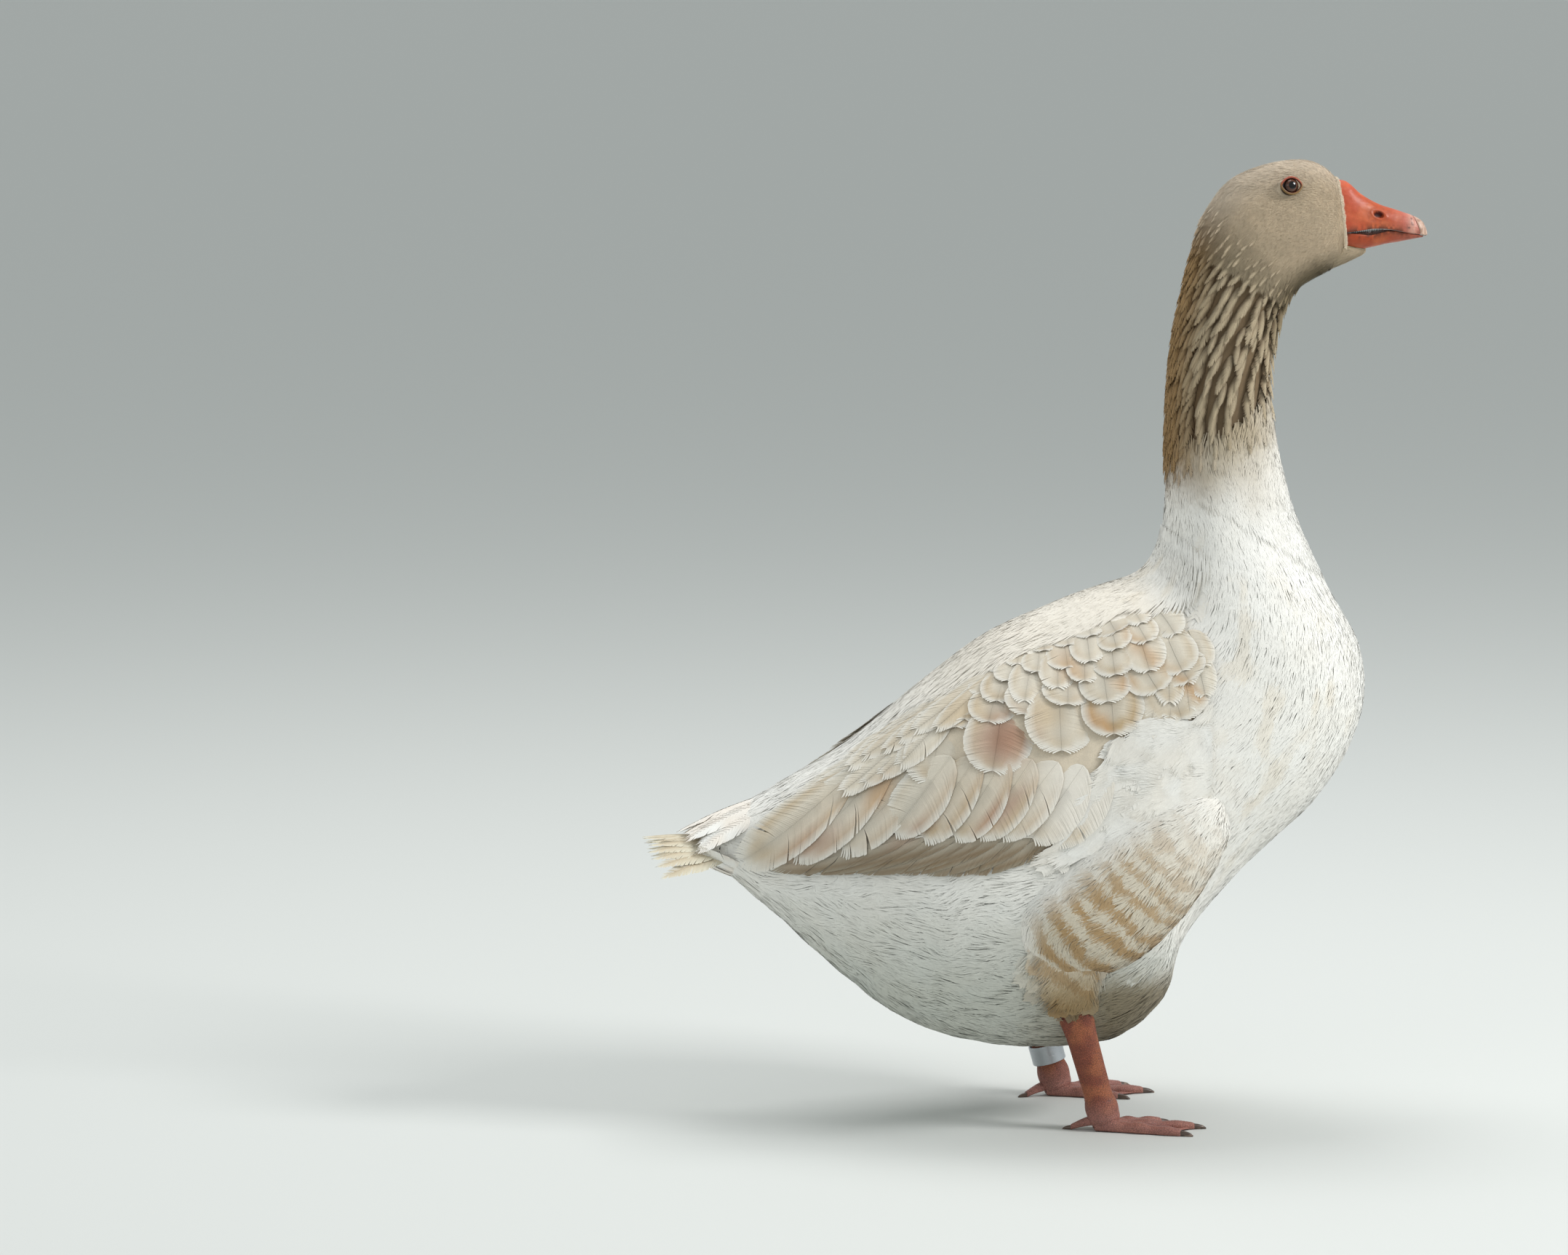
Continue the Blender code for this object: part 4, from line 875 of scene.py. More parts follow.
def under_wing(s, phi):
    """True where the folded wing hides the form."""
    place = on_form(s, phi)[0]
    spine_z = np.interp(place[:, 0], (-0.26, 0.12), (0.215, 0.27))
    degrees = np.degrees(np.arctan2(np.abs(place[:, 1]), place[:, 2] - spine_z))
    top = np.interp(place[:, 0], (-0.236, -0.165, -0.05, 0.062, 0.09, 0.118), (92, 34, 20, 20, 24, 46))
    low = np.interp(place[:, 0], (-0.236, -0.05, 0.02, 0.062, 0.09, 0.118), (104, 97, 90, 80, 70, 56))
    inside = (place[:, 0] > -0.225) & (place[:, 0] < 0.108)
    return inside & (degrees > top) & (degrees < low)


def form_uv(s, phi):
    return np.stack([(s + 0.3) / (LAST + 1.0) * 0.78, np.mod(phi, FULL_TURN) / FULL_TURN * 0.99], -1)


def lift_profile(stations, root, top, tip):
    """Height of a feather over the skin along it: from root up to top past the middle, then to tip."""
    rise = np.interp(np.linspace(0, 1, stations), (0, 0.35, 0.8, 1.0), (0.0, 0.8, 1.0, tip))
    return root + np.reshape(top - root, (-1, 1)) * rise


def tile_coat(name, u, v, place_on, turn, length, half_width, sink, top, tint_at, barbs, root_uv=None):
    """Tiles of soft contour feathers, rooted at places of a surface. Each has a paler tip than its base."""
    count = len(u)
    line, out = walk(place_on, u, v, turn, length, 5)
    heights = lift_profile(6, -0.001, np.asarray(top), 0.78) * draw.uniform(0.88, 1.08, (count, 1))
    line = line + out * (heights - (np.asarray(sink) * np.ones(count))[:, None])[..., None]
    points, quads, feather, t, y = vanes(
        line, out, half_width * draw.uniform(0.85, 1.15, count), 0.0012, barbs, 0.34, 0.6, 2.0,
        splits=1, fray=0.8, shaft=0.0, steps=3, ridge=0.00003, barb_tip=0.72,
    )
    shade = 0.97 + 0.03 * smooth_step(0.3, 0.95, t) - 0.03 * draw.uniform(0, 1, count)[feather]
    uv = root_patches(form_uv(u, v) if root_uv is None else root_uv, feather, quads)
    add_piece(name, points, quads, body_plumage, tint_at(feather, t) * shade[:, None], uv,
              soft=along_feather(out, feather, t), share=0.8)


def contour_coat(name, s_low, s_high, spacing, length, half_width, top, barbs, keep=None, loose=0.10):
    """Tiles of soft contour feathers over part of the form."""
    s, phi = scatter_on_form(s_low, s_high, spacing)
    shown = ~under_wing(s, phi)
    if keep is not None:
        shown &= keep(s, phi)
    s, phi = s[shown], phi[shown]
    turn = form_lie(s, phi) + draw.normal(0, loose, len(s))
    base = form_tint(s, phi)
    tile_coat(name, s, phi, on_form, turn, length * draw.uniform(0.85, 1.15, len(s)), half_width,
              coat_depth(s), top, lambda feather, t: base[feather], barbs)


def strand_coat(name, s, phi, place_on, turn, length, half_width, top, tint, root_uv=None,
                finish=body_plumage, steps=2, tilt=0.20, sink=None, tip_drop=0.88, share=0.86,
                root_lift=0.86):
    """Fine strands at these roots, all in one mesh. root_lift and tip_drop are the ends' shares of top."""
    line, out = walk(place_on, s, phi, turn, length, steps)
    root_uv = form_uv(s, phi) if root_uv is None else root_uv
    depth = coat_depth(s) if sink is None else sink
    straight = np.linalg.norm(line[:, -1] - line[:, 0], axis=1) < 1.5 * length
    line, out, half_width, top, tint = (a[straight] for a in (line, out, half_width, top, tint))
    root_uv, depth = root_uv[straight], (depth * np.ones(len(straight)))[straight]
    count = len(line)
    lift = np.interp(np.linspace(0, 1, steps + 1), (0, 0.4, 0.85, 1), (root_lift, 0.96, 1.0, tip_drop))
    heights = lift * top[:, None] - depth[:, None]
    points, quads, uv = strands(line, out, half_width, heights, draw.normal(0, tilt, count), root_uv)
    colour = np.repeat(tint, (steps + 1) * 2, 0)
    shade = np.tile(np.repeat(np.linspace(0.94, 1.03, steps + 1), 2), count)
    shade = shade * np.repeat(draw.uniform(0.96, 1.03, count), (steps + 1) * 2)
    soft = np.repeat(out.reshape(-1, 3), 2, 0)
    add_piece(name, points, quads, finish, colour * shade[:, None], uv, soft=soft, share=share)


# %% Trunk feathers
contour_coat("coat_breast", 6.4, 12.4, 0.0102, 0.026, 0.0088, 0.0044, 8)
contour_coat("coat_belly", 2.6, 6.9, 0.0110, 0.030, 0.0098, 0.0046, 9, loose=0.14)
contour_coat("coat_rump", 0.15, 3.0, 0.0094, 0.030, 0.0085, 0.0050, 12, loose=0.14)

# %% [markdown]
# The strands are thin and many. Their directions wander together in clumps, read from the same smooth noise,
# so that the coat looks combed by wind and not sown at random. They are smoothest on the breast.

# %% Loose strands on the trunk


def loose_strands(name, s_low, s_high, amount, length, half_width, top, clump, seed, wander, keep=None,
                  ruffle=0.18):
    """Strands strewn evenly by area over part of the form, leaving out what the wing hides."""
    s = draw.uniform(s_low, s_high, amount * 4)
    phi = draw.uniform(0, FULL_TURN, amount * 4)
    _, _, along, across = on_form(s, phi)
    kept = draw.uniform(0, 1, amount * 4) < along * across / np.percentile(along * across, 97)
    kept &= ~under_wing(s, phi)
    if keep is not None:
        kept &= keep(s, phi)
    s, phi = s[kept][:amount], phi[kept][:amount]
    place = on_form(s, phi)[0]
    lean = (cloudiness(place, clump, seed) - 0.5) * wander
    lean = lean + (cloudiness(place, clump * 0.4, seed + 5) - 0.5) * 0.4
    turn = form_lie(s, phi) + lean + draw.normal(0, 0.10, len(s))
    size = length * draw.uniform(0.7, 1.25, len(s))
    high = top * (0.92 + ruffle * (cloudiness(place, clump * 0.7, seed + 1) - 0.4))
    strand_coat(name, s, phi, on_form, turn, size, half_width * draw.uniform(0.7, 1.3, len(s)), high,
                form_tint(s, phi), tilt=0.07)


loose_strands("strands_shoulder", 8.9, 12.6, 24000, 0.015, 0.00062, 0.0051, 0.022, 11, 0.35, ruffle=0.12)
loose_strands("strands_breast", 6.3, 9.0, 25000, 0.017, 0.00066, 0.0052, 0.022, 15, 0.45, ruffle=0.12)
loose_strands("strands_belly", 0.2, 6.5, 33000, 0.020, 0.00072, 0.0056, 0.016, 21, 1.2, ruffle=0.24)

# %% [markdown]
# ## Places on the trunk's side
# Wings and thighs are placed by x and by degrees down from the top of the back, seen from a spine inside the
# trunk. To lay them on the form, the section and angle under such a place are found by Newton's steps.

# %% From degrees to sections
SPINE_X, SPINE_Z = (-0.26, 0.12), (0.215, 0.27)


def find_on_form(x, degrees):
    """Section and angle where a ray from the spine, this many degrees from straight up, leaves the form."""
    held = np.clip(x, SPINE_X[0] + 0.012, SPINE_X[1])
    spine = np.interp(held, SPINE_X, SPINE_Z)
    wanted = np.radians(degrees)
    guess = (SECTIONS[:10, 0] + SECTIONS[:10, 2]) / 2
    s, phi = np.interp(held, guess, np.arange(10.0)), wanted * 1.0

    def miss(s, phi):
        p = form_point(np.clip(s, 0.0, LAST), phi)
        return np.stack([held - p[..., 0], wanted - np.arctan2(p[..., 1], p[..., 2] - spine)], -1)

    step = 1e-3
    for _ in range(14):
        here = miss(s, phi)
        by_s = (miss(s + step, phi) - here) / step
        by_phi = (miss(s, phi + step) - here) / step
        det = by_s[..., 0] * by_phi[..., 1] - by_s[..., 1] * by_phi[..., 0]
        det = np.where(np.abs(det) < 1e-9, 1e-9, det)
        ds = (-here[..., 0] * by_phi[..., 1] + here[..., 1] * by_phi[..., 0]) / det
        dphi = (-by_s[..., 0] * here[..., 1] + by_s[..., 1] * here[..., 0]) / det
        s = np.clip(s + np.clip(ds, -0.4, 0.4), 0.0, 12.0)
        phi = phi + np.clip(dphi, -0.25, 0.25)
    return s, phi


def outside_form(place):
    """How far points on either side stand out beyond the trunk's surface beside them."""
    spine = np.interp(place[:, 0], SPINE_X, SPINE_Z)
    degrees = np.degrees(np.arctan2(np.abs(place[:, 1]), place[:, 2] - spine))
    s, phi = find_on_form(place[:, 0], degrees)
    surface = form_point(s, phi)
    return np.hypot(place[:, 1], place[:, 2] - spine) - np.hypot(surface[:, 1], surface[:, 2] - spine)


# %% [markdown]
# ## Thigh lobes
# The lobe is covered by the same tiles and strands, placed on the thigh's own tube. Those at its rear end
# run past it and hang over the leg.

# %% Thigh feathers


def thigh_roots(label, amount, u_low=0.02):
    """Even roots by area over the part of the lobe that stands out of the body."""
    place_on = on_thigh(label)
    u = draw.uniform(u_low, 0.97, amount * 5)
    v = draw.uniform(0, FULL_TURN, amount * 5)
    place, _, along, across = place_on(u, v)
    area = along * across
    kept = draw.uniform(0, 1, len(u)) < area / area.max()
    kept &= (outside_form(place) > -0.006) | (place[:, 2] < 0.12)
    return u[kept][:amount], v[kept][:amount]


def thigh_uv(u, v):
    return np.stack([u * 0.98, np.mod(v, FULL_TURN) / FULL_TURN * 0.98], -1)


for label, side, back in SIDES:
    place_on = on_thigh(label)
    u, v = thigh_roots(label, 430)
    size = 0.027 * draw.uniform(0.85, 1.15, len(u)) * np.interp(u, (0, 0.25), (0.6, 1.0))
    tile_coat(f"coat_thigh_{label}", u, v, place_on, draw.normal(0, 0.12, len(u)), size, 0.0085, 0.004,
              0.0046, lambda feather, t: thigh_tint(label, u[feather] - 0.13 * t, v[feather]), 10,
              thigh_uv(u, v))
    u, v = thigh_roots(label, 13500, 0.05)
    place = place_on(u, v)[0]
    turn = draw.normal(0, 0.12, len(u)) + (cloudiness(place, 0.013, 33) - 0.5) * 0.9
    high = 0.0056 * (0.86 + 0.28 * cloudiness(place, 0.008, 34))
    strand_coat(f"strands_thigh_{label}", u, v, place_on, turn, 0.015 * draw.uniform(0.7, 1.25, len(u)),
                0.00052 * draw.uniform(0.7, 1.3, len(u)), high, thigh_tint(label, u - 0.05, v),
                thigh_uv(u, v), sink=0.004)

# %% [markdown]
# The lobe's last feathers hang over the top of the leg. They stand on the trunk beside it, lie downwards and
# carry on the lobe's bars, ever darker towards the leg with painted shade.

# %% Feathers over the leg's top
for label, side, back in SIDES:
    for kind, amount in (("coat", 100), ("strands", 4500)):
        degrees = draw.uniform(122, 147, amount)
        first = np.interp(degrees, (122, 134, 147), (0.000, -0.018, 0.002))
        last = np.interp(degrees, (122, 147), (0.050, 0.038))
        share = draw.uniform(0, 1, amount)
        edge = smooth_step(0.0, 0.25, share) * smooth_step(1.0, 0.75, share)
        x = first + (last - first) * share - back * 0.6
        s, phi = find_on_form(x, degrees)
        place = on_form(s, phi)[0]
        bars, _ = flank_bars(place)
        # low grows towards the leg: the feathers there turn buff and ochre, and are darkened as painted shade
        # under the lobe.
        low = smooth_step(0.150, 0.105, place[:, 2])
        tint = blend(FLANK_BUFF, CREAM, 0.7 * (1 - low))
        tint = blend(tint, BAR_OCHRE, 0.85 * np.maximum(0.8 * bars, 0.6 * low))
        tint = shaded(tint, [0.66, 0.61, 0.52], low)
        tint = blend(form_tint(s, phi), tint, 0.15 + 0.85 * edge)
        turn = side * (1.25 + 0.25 * draw.normal(0, 1, amount))
        if kind == "coat":
            tile_coat(f"coat_leg_top_{label}", s, phi * side, on_form, turn,
                      0.026 * draw.uniform(0.8, 1.1, amount), 0.0078, 0.0, 0.0010 + 0.0048 * edge,
                      lambda feather, t: tint[feather], 10)
        else:
            strand_coat(f"strands_leg_top_{label}", s, phi * side, on_form, turn,
                        0.018 * draw.uniform(0.7, 1.2, amount), np.full(amount, 0.0005),
                        0.0014 + 0.0050 * edge + 0.0010 * cloudiness(place, 0.008, 37), tint, sink=0.0)

# %% [markdown]
# ## Neck ropes
# Geese have furrowed necks. The feathers stand in ropes about 8 mm apart, which lean back as they run down,
# and each rope is a chain of pointed bundles whose barbs slant out from its ridge. A bundle is a vane with a
# high arch. Between them the furrows are darkened with painted shade.

# %% Neck
ROPES = 30
ROPE_LENGTH = 0.023
ROPE_STEP = 0.0095
ROPE_HALF_WIDTH = 0.0037

rope_s, rope_phi, rope_size = [], [], []
for rope in range(ROPES):
    s = CHEEK + 1.15 - draw.uniform(0, 0.5)
    phi = (rope + 0.5) * FULL_TURN / ROPES
    while s > 12.6:
        _, _, along, across = on_form(np.array(s), np.array(phi))
        small = np.interp(s, (16.6, 18.4), (1.0, 0.45))
        if s > rope_begins(phi) + draw.uniform(-0.1, 0.4):
            rope_s.append(s)
            rope_phi.append(phi + draw.normal(0, 0.0010) / across)
            rope_size.append(small * draw.uniform(0.80, 1.2))
        step = ROPE_STEP * small * draw.uniform(0.7, 1.3)
        s -= step / along
        phi += float(form_lie(np.array(s), np.array(phi))) * step / across
rope_s, rope_phi, rope_size = (np.array(a, float) for a in (rope_s, rope_phi, rope_size))
count = len(rope_s)
turn = form_lie(rope_s, rope_phi) + draw.normal(0, 0.07, count)
line, out = walk(on_form, rope_s, rope_phi, turn, ROPE_LENGTH * rope_size, 8)
rope_lift = np.interp(np.linspace(0, 1, 9), (0, 0.25, 0.7, 1.0), (-0.0034, -0.0006, 0.0014, 0.0020))
on_cheek = np.clip(1 - rope_size, 0, 0.5)[:, None] * np.linspace(0.0, 0.0020, 9)
line = line + out * (rope_lift * np.minimum(rope_size, 1.0)[:, None] + on_cheek)[..., None]
points, quads, feather, t, y = vanes(
    line, out, ROPE_HALF_WIDTH * np.clip(rope_size, 0.45, 1.1), 0.0036, 15, 0.34, 0.42, 1.35,
    splits=1, fray=1.6, shaft=0.0, steps=4,
)
tint = (form_tint(rope_s, rope_phi) * np.interp(rope_size, (0.5, 0.9), (0.86, 1.0))[:, None])[feather]
# Painted shade: each bundle darkens towards its sides, where the furrows are, and towards its base, under the
# next bundle's tip.
rope_furrow_shade = smooth_step(0.35, 1.0, np.abs(y)) * (1 - 0.6 * smooth_step(0.6, 1.0, t))
rope_furrow_shade = rope_furrow_shade + 0.5 * smooth_step(0.5, 0.1, t)
tint = blend(tint * 1.0, tint * [0.34, 0.29, 0.25], np.clip(0.9 * rope_furrow_shade, 0, 1))
tint = tint * (0.94 + 0.12 * draw.uniform(0, 1, count))[feather][:, None]
uv = root_patches(form_uv(rope_s, rope_phi), feather, quads)
add_piece("neck_ropes", points, quads, neck_plumage, tint, uv,
          soft=along_feather(out, feather, t), share=0.25)
print("rope bundles:", count)

# %% [markdown]
# Below the ropes the neck is smooth. Small tiles and the finest strands cover it, and they run up between the
# ropes' ends.

# %% Neck root
contour_coat("coat_neck_root", 12.0, 15.0, 0.0060, 0.014, 0.0048, 0.0046, 7,
             keep=lambda s, phi: s < rope_begins(phi) + 0.5)
loose_strands("strands_neck_root", 12.2, 15.0, 18000, 0.012, 0.00038, 0.0054, 0.014, 31, 0.4,
              keep=lambda s, phi: s < rope_begins(phi) + draw.uniform(-0.2, 0.6, len(s)))

# %% [markdown]
# ## Head plumage
# The head's feathers are only 2 to 9 mm long and lie flat, so the head looks like velvet. They are strands,
# shortest round the bill and the eye, and none grows on the bare lid.

# %% Head
HEAD_STRANDS = 84000
s = draw.uniform(17.2, 22.97, HEAD_STRANDS * 2)
phi = draw.uniform(0, FULL_TURN, HEAD_STRANDS * 2)
place, _, along, across = on_form(s, phi)
same_side = np.stack([np.ones(len(s)), np.sign(place[:, 1]), np.ones(len(s))], -1)
from_eye = np.linalg.norm(place - EYE_CENTRE * same_side, axis=1)
kept = (draw.uniform(0, 1, len(s)) < along * across / np.percentile(along * across, 96)) & (from_eye > 0.0088)
s, phi, from_eye, place = (values[kept][:HEAD_STRANDS] for values in (s, phi, from_eye, place))
length = np.interp(s, (17.2, 18.5, 21.5, 23.0), (0.0075, 0.0052, 0.0036, 0.0024))
length = np.minimum(length, 0.0016 + 0.28 * from_eye) * draw.uniform(0.8, 1.2, len(s))
turn = draw.normal(0, 0.10, len(s)) + (cloudiness(place, 0.012, 7) - 0.5) * 0.5


def on_head(s, phi):
    place, out, along, across = on_form(s, phi)
    raised = head_relief(place) * smooth_step(17.5, 18.5, s)
    return place + out * raised[..., None], out, along, across


head_tint = form_tint(s, phi) * (0.86 + 0.14 * cloudiness(place, 0.0026, 8))[:, None]
strand_coat("coat_head", s, phi, on_head, turn, length, np.interp(length, (0.002, 0.008), (0.00026, 0.00038)),
            np.interp(s, (17.2, 18.5, 23), (0.0044, 0.0018, 0.0010)), head_tint, finish=neck_plumage,
            steps=1, tilt=0.15, tip_drop=1.0, share=0.85, root_lift=0.0)

# %% [markdown]
# Where the plumage ends at the bill, tiny pale feathers stand forward over its base in uneven scallops. Under
# the lower bill the chin's feathers run forward as a wedge.

# %% Bill's margin and the chin
phi = draw.uniform(0, FULL_TURN, 3600)
place, out, _, _ = on_head(np.full(3600, 22.93) - draw.uniform(0, 0.10, 3600), phi)
size = 0.0008 + 0.0014 * cloudiness(place, 0.0028, 17) * draw.uniform(0.6, 1.2, 3600)
ahead = unit(np.array([1.0, 0.0, -0.2]) + 0.25 * out)
line = place[:, None] + ahead[:, None] * size[:, None, None] * np.array([0, 1])[None, :, None]
out = np.repeat(out[:, None], 2, 1)
heights = np.stack([np.zeros(3600), draw.uniform(0.0003, 0.0009, 3600)], -1)
points, quads, uv = strands(line, out, np.full(3600, 0.00030), heights, draw.normal(0, 0.2, 3600),
                            form_uv(np.full(3600, 22.9), phi))
add_piece("margin_bill", points, quads, neck_plumage, linear("#DDCDB4"), uv,
          soft=np.repeat(out.reshape(-1, 3), 2, 0), share=0.8)

chin_table = make_table(chin_point, (0.0, 1.0), (0.0, math.pi), 60, 60)
chin_table["values"][..., 3:6] *= -np.sign(chin_table["values"][30, 30, 5])


def on_chin(u, v):
    return read_surface(chin_table, u, v)


u, v = draw.uniform(0.05, 1.0, 5200), draw.uniform(0.12, math.pi - 0.12, 5200)
strand_coat("coat_chin", u, v, on_chin, draw.normal(0, 0.12, 5200), 0.0042 * draw.uniform(0.7, 1.2, 5200),
            np.full(5200, 0.00030), np.full(5200, 0.0011), blend(CHEEK_SHADE, HEAD_BEIGE, 0.3 + 0.6 * u),
            np.stack([u, v / math.pi], -1) * 0.95, neck_plumage, steps=1, tilt=0.15, sink=0.0, tip_drop=1.0,
            root_lift=0.0)

# %% [markdown]
# ## Wings
# A folded wing is a stack of tiers: flight feathers lowest, then greater coverts, the broad tertials that
# cover the tail's root, and rows of ever smaller coverts up to the shoulder. A tier runs from a first
# feather to a last one, and each feather from a root to a tip. Places are given as x and as degrees down
# from the top of the back, as on the solids, so that both wings sit on the trunk.

# %% The wing's bed
WING_EDGE = ((-0.236, 92.0, 112.0), (-0.205, 52.0, 110.0), (-0.165, 24.0, 108.0), (-0.12, 13.0, 107.5),
             (-0.05, 8.0, 107.0), (0.02, 8.0, 103.0), (0.062, 9.0, 90.0), (0.09, 13.0, 78.0),
             (0.118, 42.0, 62.0))


def wing_share(x, degrees):
    where, top, low = np.transpose(WING_EDGE)
    top, low = np.interp(x, where, top), np.interp(x, where, low)
    return np.clip((degrees - top) / (low - top), 0, 1)


def wing_lift(x, share):
    """Height of the wing's bed over the trunk: it leaves the back gently and drops fast at its lower edge."""
    body = np.interp(x, (-0.236, -0.16, 0.04, 0.118), (0.004, 0.008, 0.0125, 0.004))
    return body * np.where(share < 0.5, smooth_step(0.0, 0.45, share), 1 - np.abs(2 * share - 1) ** 3)


def bed_point(x, degrees):
    """Point of the trunk under the wing."""
    place = form_point(*find_on_form(x, degrees))
    place[..., 0] += x - np.clip(x, SPINE_X[0] + 0.012, SPINE_X[1])
    return place


bed_table = make_table(bed_point, (-0.242, 0.128), (2.0, 118.0), 90, 90)
bed_table["values"][..., 3:6] *= np.sign(bed_table["values"][45, 70, 4])


def on_bed(x, degrees):
    return read_surface(bed_table, x, degrees)[:2]


# %% Feathers of the wing
# Each row: name, root and tip of the first feather, of the last one, how many, half width, rise at the tip,
# which way they overlap (1 where the rear ones lie on top), barbs a side, splits, and how strong the buff is.
WING_TIERS = (
    ("flight", (0.004, 97), (-0.050, 105), (-0.105, 92), (-0.212, 106.5), 11, 0.0100, 0.0010, 1, 34, 3, 0.5),
    ("greater", (0.042, 76), (0.000, 101), (-0.072, 60), (-0.120, 91), 7, 0.0205, 0.0024, 1, 46, 2, 0.50),
    ("tertial", (-0.086, 56), (-0.158, 97), (-0.140, 48), (-0.232, 105), 3, 0.0235, 0.0036, 1, 60, 4, 0.35),
    ("rump", (-0.075, 36), (-0.190, 64), (-0.075, 16), (-0.185, 34), 6, 0.0130, 0.0014, -1, 36, 2, 0.05),
    ("median", (0.088, 46), (0.098, 63), (-0.070, 38), (-0.088, 72), 5, 0.0262, 0.0038, -1, 44, 1, 0.60),
    ("covert", (0.094, 40), (0.104, 54), (-0.058, 32), (-0.074, 50), 7, 0.0200, 0.0042, -1, 32, 1, 0.35),
    ("lesser", (0.090, 30), (0.098, 47), (-0.045, 25), (-0.060, 44), 8, 0.0170, 0.0044, -1, 28, 1, 0.50),
    ("small", (0.086, 22), (0.098, 38), (-0.035, 19), (-0.046, 36), 8, 0.0150, 0.0044, -1, 24, 1, 0.30),
    ("shoulder", (0.080, 15), (0.092, 29), (-0.026, 14), (-0.036, 28), 8, 0.0142, 0.0040, -1, 24, 1, 0.20),
    ("bend", (0.112, 42), (0.114, 57), (0.082, 50), (0.076, 68), 4, 0.0125, 0.0040, -1, 20, 1, 0.35),
    ("bend", (0.108, 34), (0.117, 49), (0.092, 40), (0.090, 58), 3, 0.0120, 0.0044, -1, 20, 1, 0.30),
    ("scapular", (-0.010, 15), (-0.074, 27), (-0.080, 16), (-0.150, 32), 7, 0.0120, 0.0034, 1, 30, 2, 0.20),
    ("scapular", (-0.025, 26), (-0.086, 43), (-0.082, 27), (-0.146, 48), 6, 0.0130, 0.0046, 1, 30, 2, 0.30),
    ("scapular", (-0.065, 36), (-0.112, 60), (-0.090, 38), (-0.152, 66), 4, 0.0130, 0.0044, 1, 30, 2, 0.30),
)
CELLS = 10
FEATHER_STATIONS = 9
ROSY, OCHRE, SAND = linear("#B18C76"), linear("#C8A37A"), linear("#D2BE9F")
# Patches seen on the wing: x, z, half length, half width, slant in radians, colour, strength.
WING_MARKS = (
    (-0.036, 0.311, 0.023, 0.019, 0.5, ROSY, 1.0), (0.016, 0.362, 0.010, 0.013, 0.4, OCHRE, 0.6),
    (-0.004, 0.329, 0.012, 0.011, 0.9, SAND, 0.8), (0.036, 0.322, 0.022, 0.006, -0.85, OCHRE, 0.9),
    (0.072, 0.375, 0.020, 0.006, -0.8, OCHRE, 0.7), (0.055, 0.352, 0.009, 0.007, 0.0, OCHRE, 0.7),
    (0.104, 0.349, 0.018, 0.005, -0.8, OCHRE, 0.8), (-0.028, 0.374, 0.020, 0.010, 0.3, SAND, 0.7),
    (-0.065, 0.327, 0.020, 0.012, 0.6, SAND, 0.8), (-0.129, 0.268, 0.018, 0.008, 0.9, OCHRE, 0.7),
    (-0.042, 0.258, 0.026, 0.006, 0.75, ROSY, 0.8), (-0.106, 0.240, 0.022, 0.006, 0.6, ROSY, 0.5),
    (-0.180, 0.226, 0.024, 0.010, 0.6, ROSY, 0.6), (0.016, 0.233, 0.016, 0.010, 0.5, SAND, 0.8),
)


def wing_marks(tint, points, inside):
    """Lays patches over the feathers' colours: each fades as exp(-r^3) from its middle, less on the rims."""
    for x, z, long, wide, slant, colour, strength in WING_MARKS:
        c, sn = math.cos(slant), math.sin(slant)
        dx, dz = points[:, 0] - x, points[:, 2] - z
        r = np.hypot((dx * c + dz * sn) / long, (dz * c - dx * sn) / wide)
        tint = blend(tint, colour, strength * np.exp(-r**3) * inside)
    return tint


def vane_tint(kind, strength, t, y, cloud):
    """Colour of a wing feather: pale centre with some real buff, a crescent of painted shade inside a cream
    rim, and darker down its shaft.

    r is 0 in the feather's middle and 1 on its rounded edge.
    """
    r = np.hypot(y, np.clip(t - 0.45, 0, 1) / 0.55)
    rim = smooth_step(0.78, 0.94, r)
    # The first term is the feather's own buff centre. The bell at r = 0.72 is a crescent of painted shade
    # along the edge of the feather that overlaps it.
    buff_centre_and_shade_crescent = 0.45 * (1 - r) + bell(r, 0.72, 0.17)
    buff = np.clip(strength * buff_centre_and_shade_crescent * (0.6 + 0.8 * cloud), 0, 1)
    tint = blend(linear("#DDD6C7"), linear("#C2AB88"), buff)
    if kind in ("greater", "tertial", "flight"):
        # Painted shade with a little buff: the front web darkens where the next feather tucks beneath it.
        front = smooth_step(-0.1, -0.75, y) * smooth_step(0.99, 0.90, np.abs(y))
        tint = blend(tint, linear("#C6AD92"), 0.45 * front * smooth_step(0.97, 0.86, t))
    # Painted shade: the flight feathers, tucked beneath the others, are darkened, most on one web.
    if kind == "flight":
        return shaded(tint, [0.46, 0.43, 0.38], 0.4 + 0.6 * smooth_step(0.0, 0.6, -y)), rim * 0.3
    return blend(tint, linear("#E6E2D8"), rim), rim


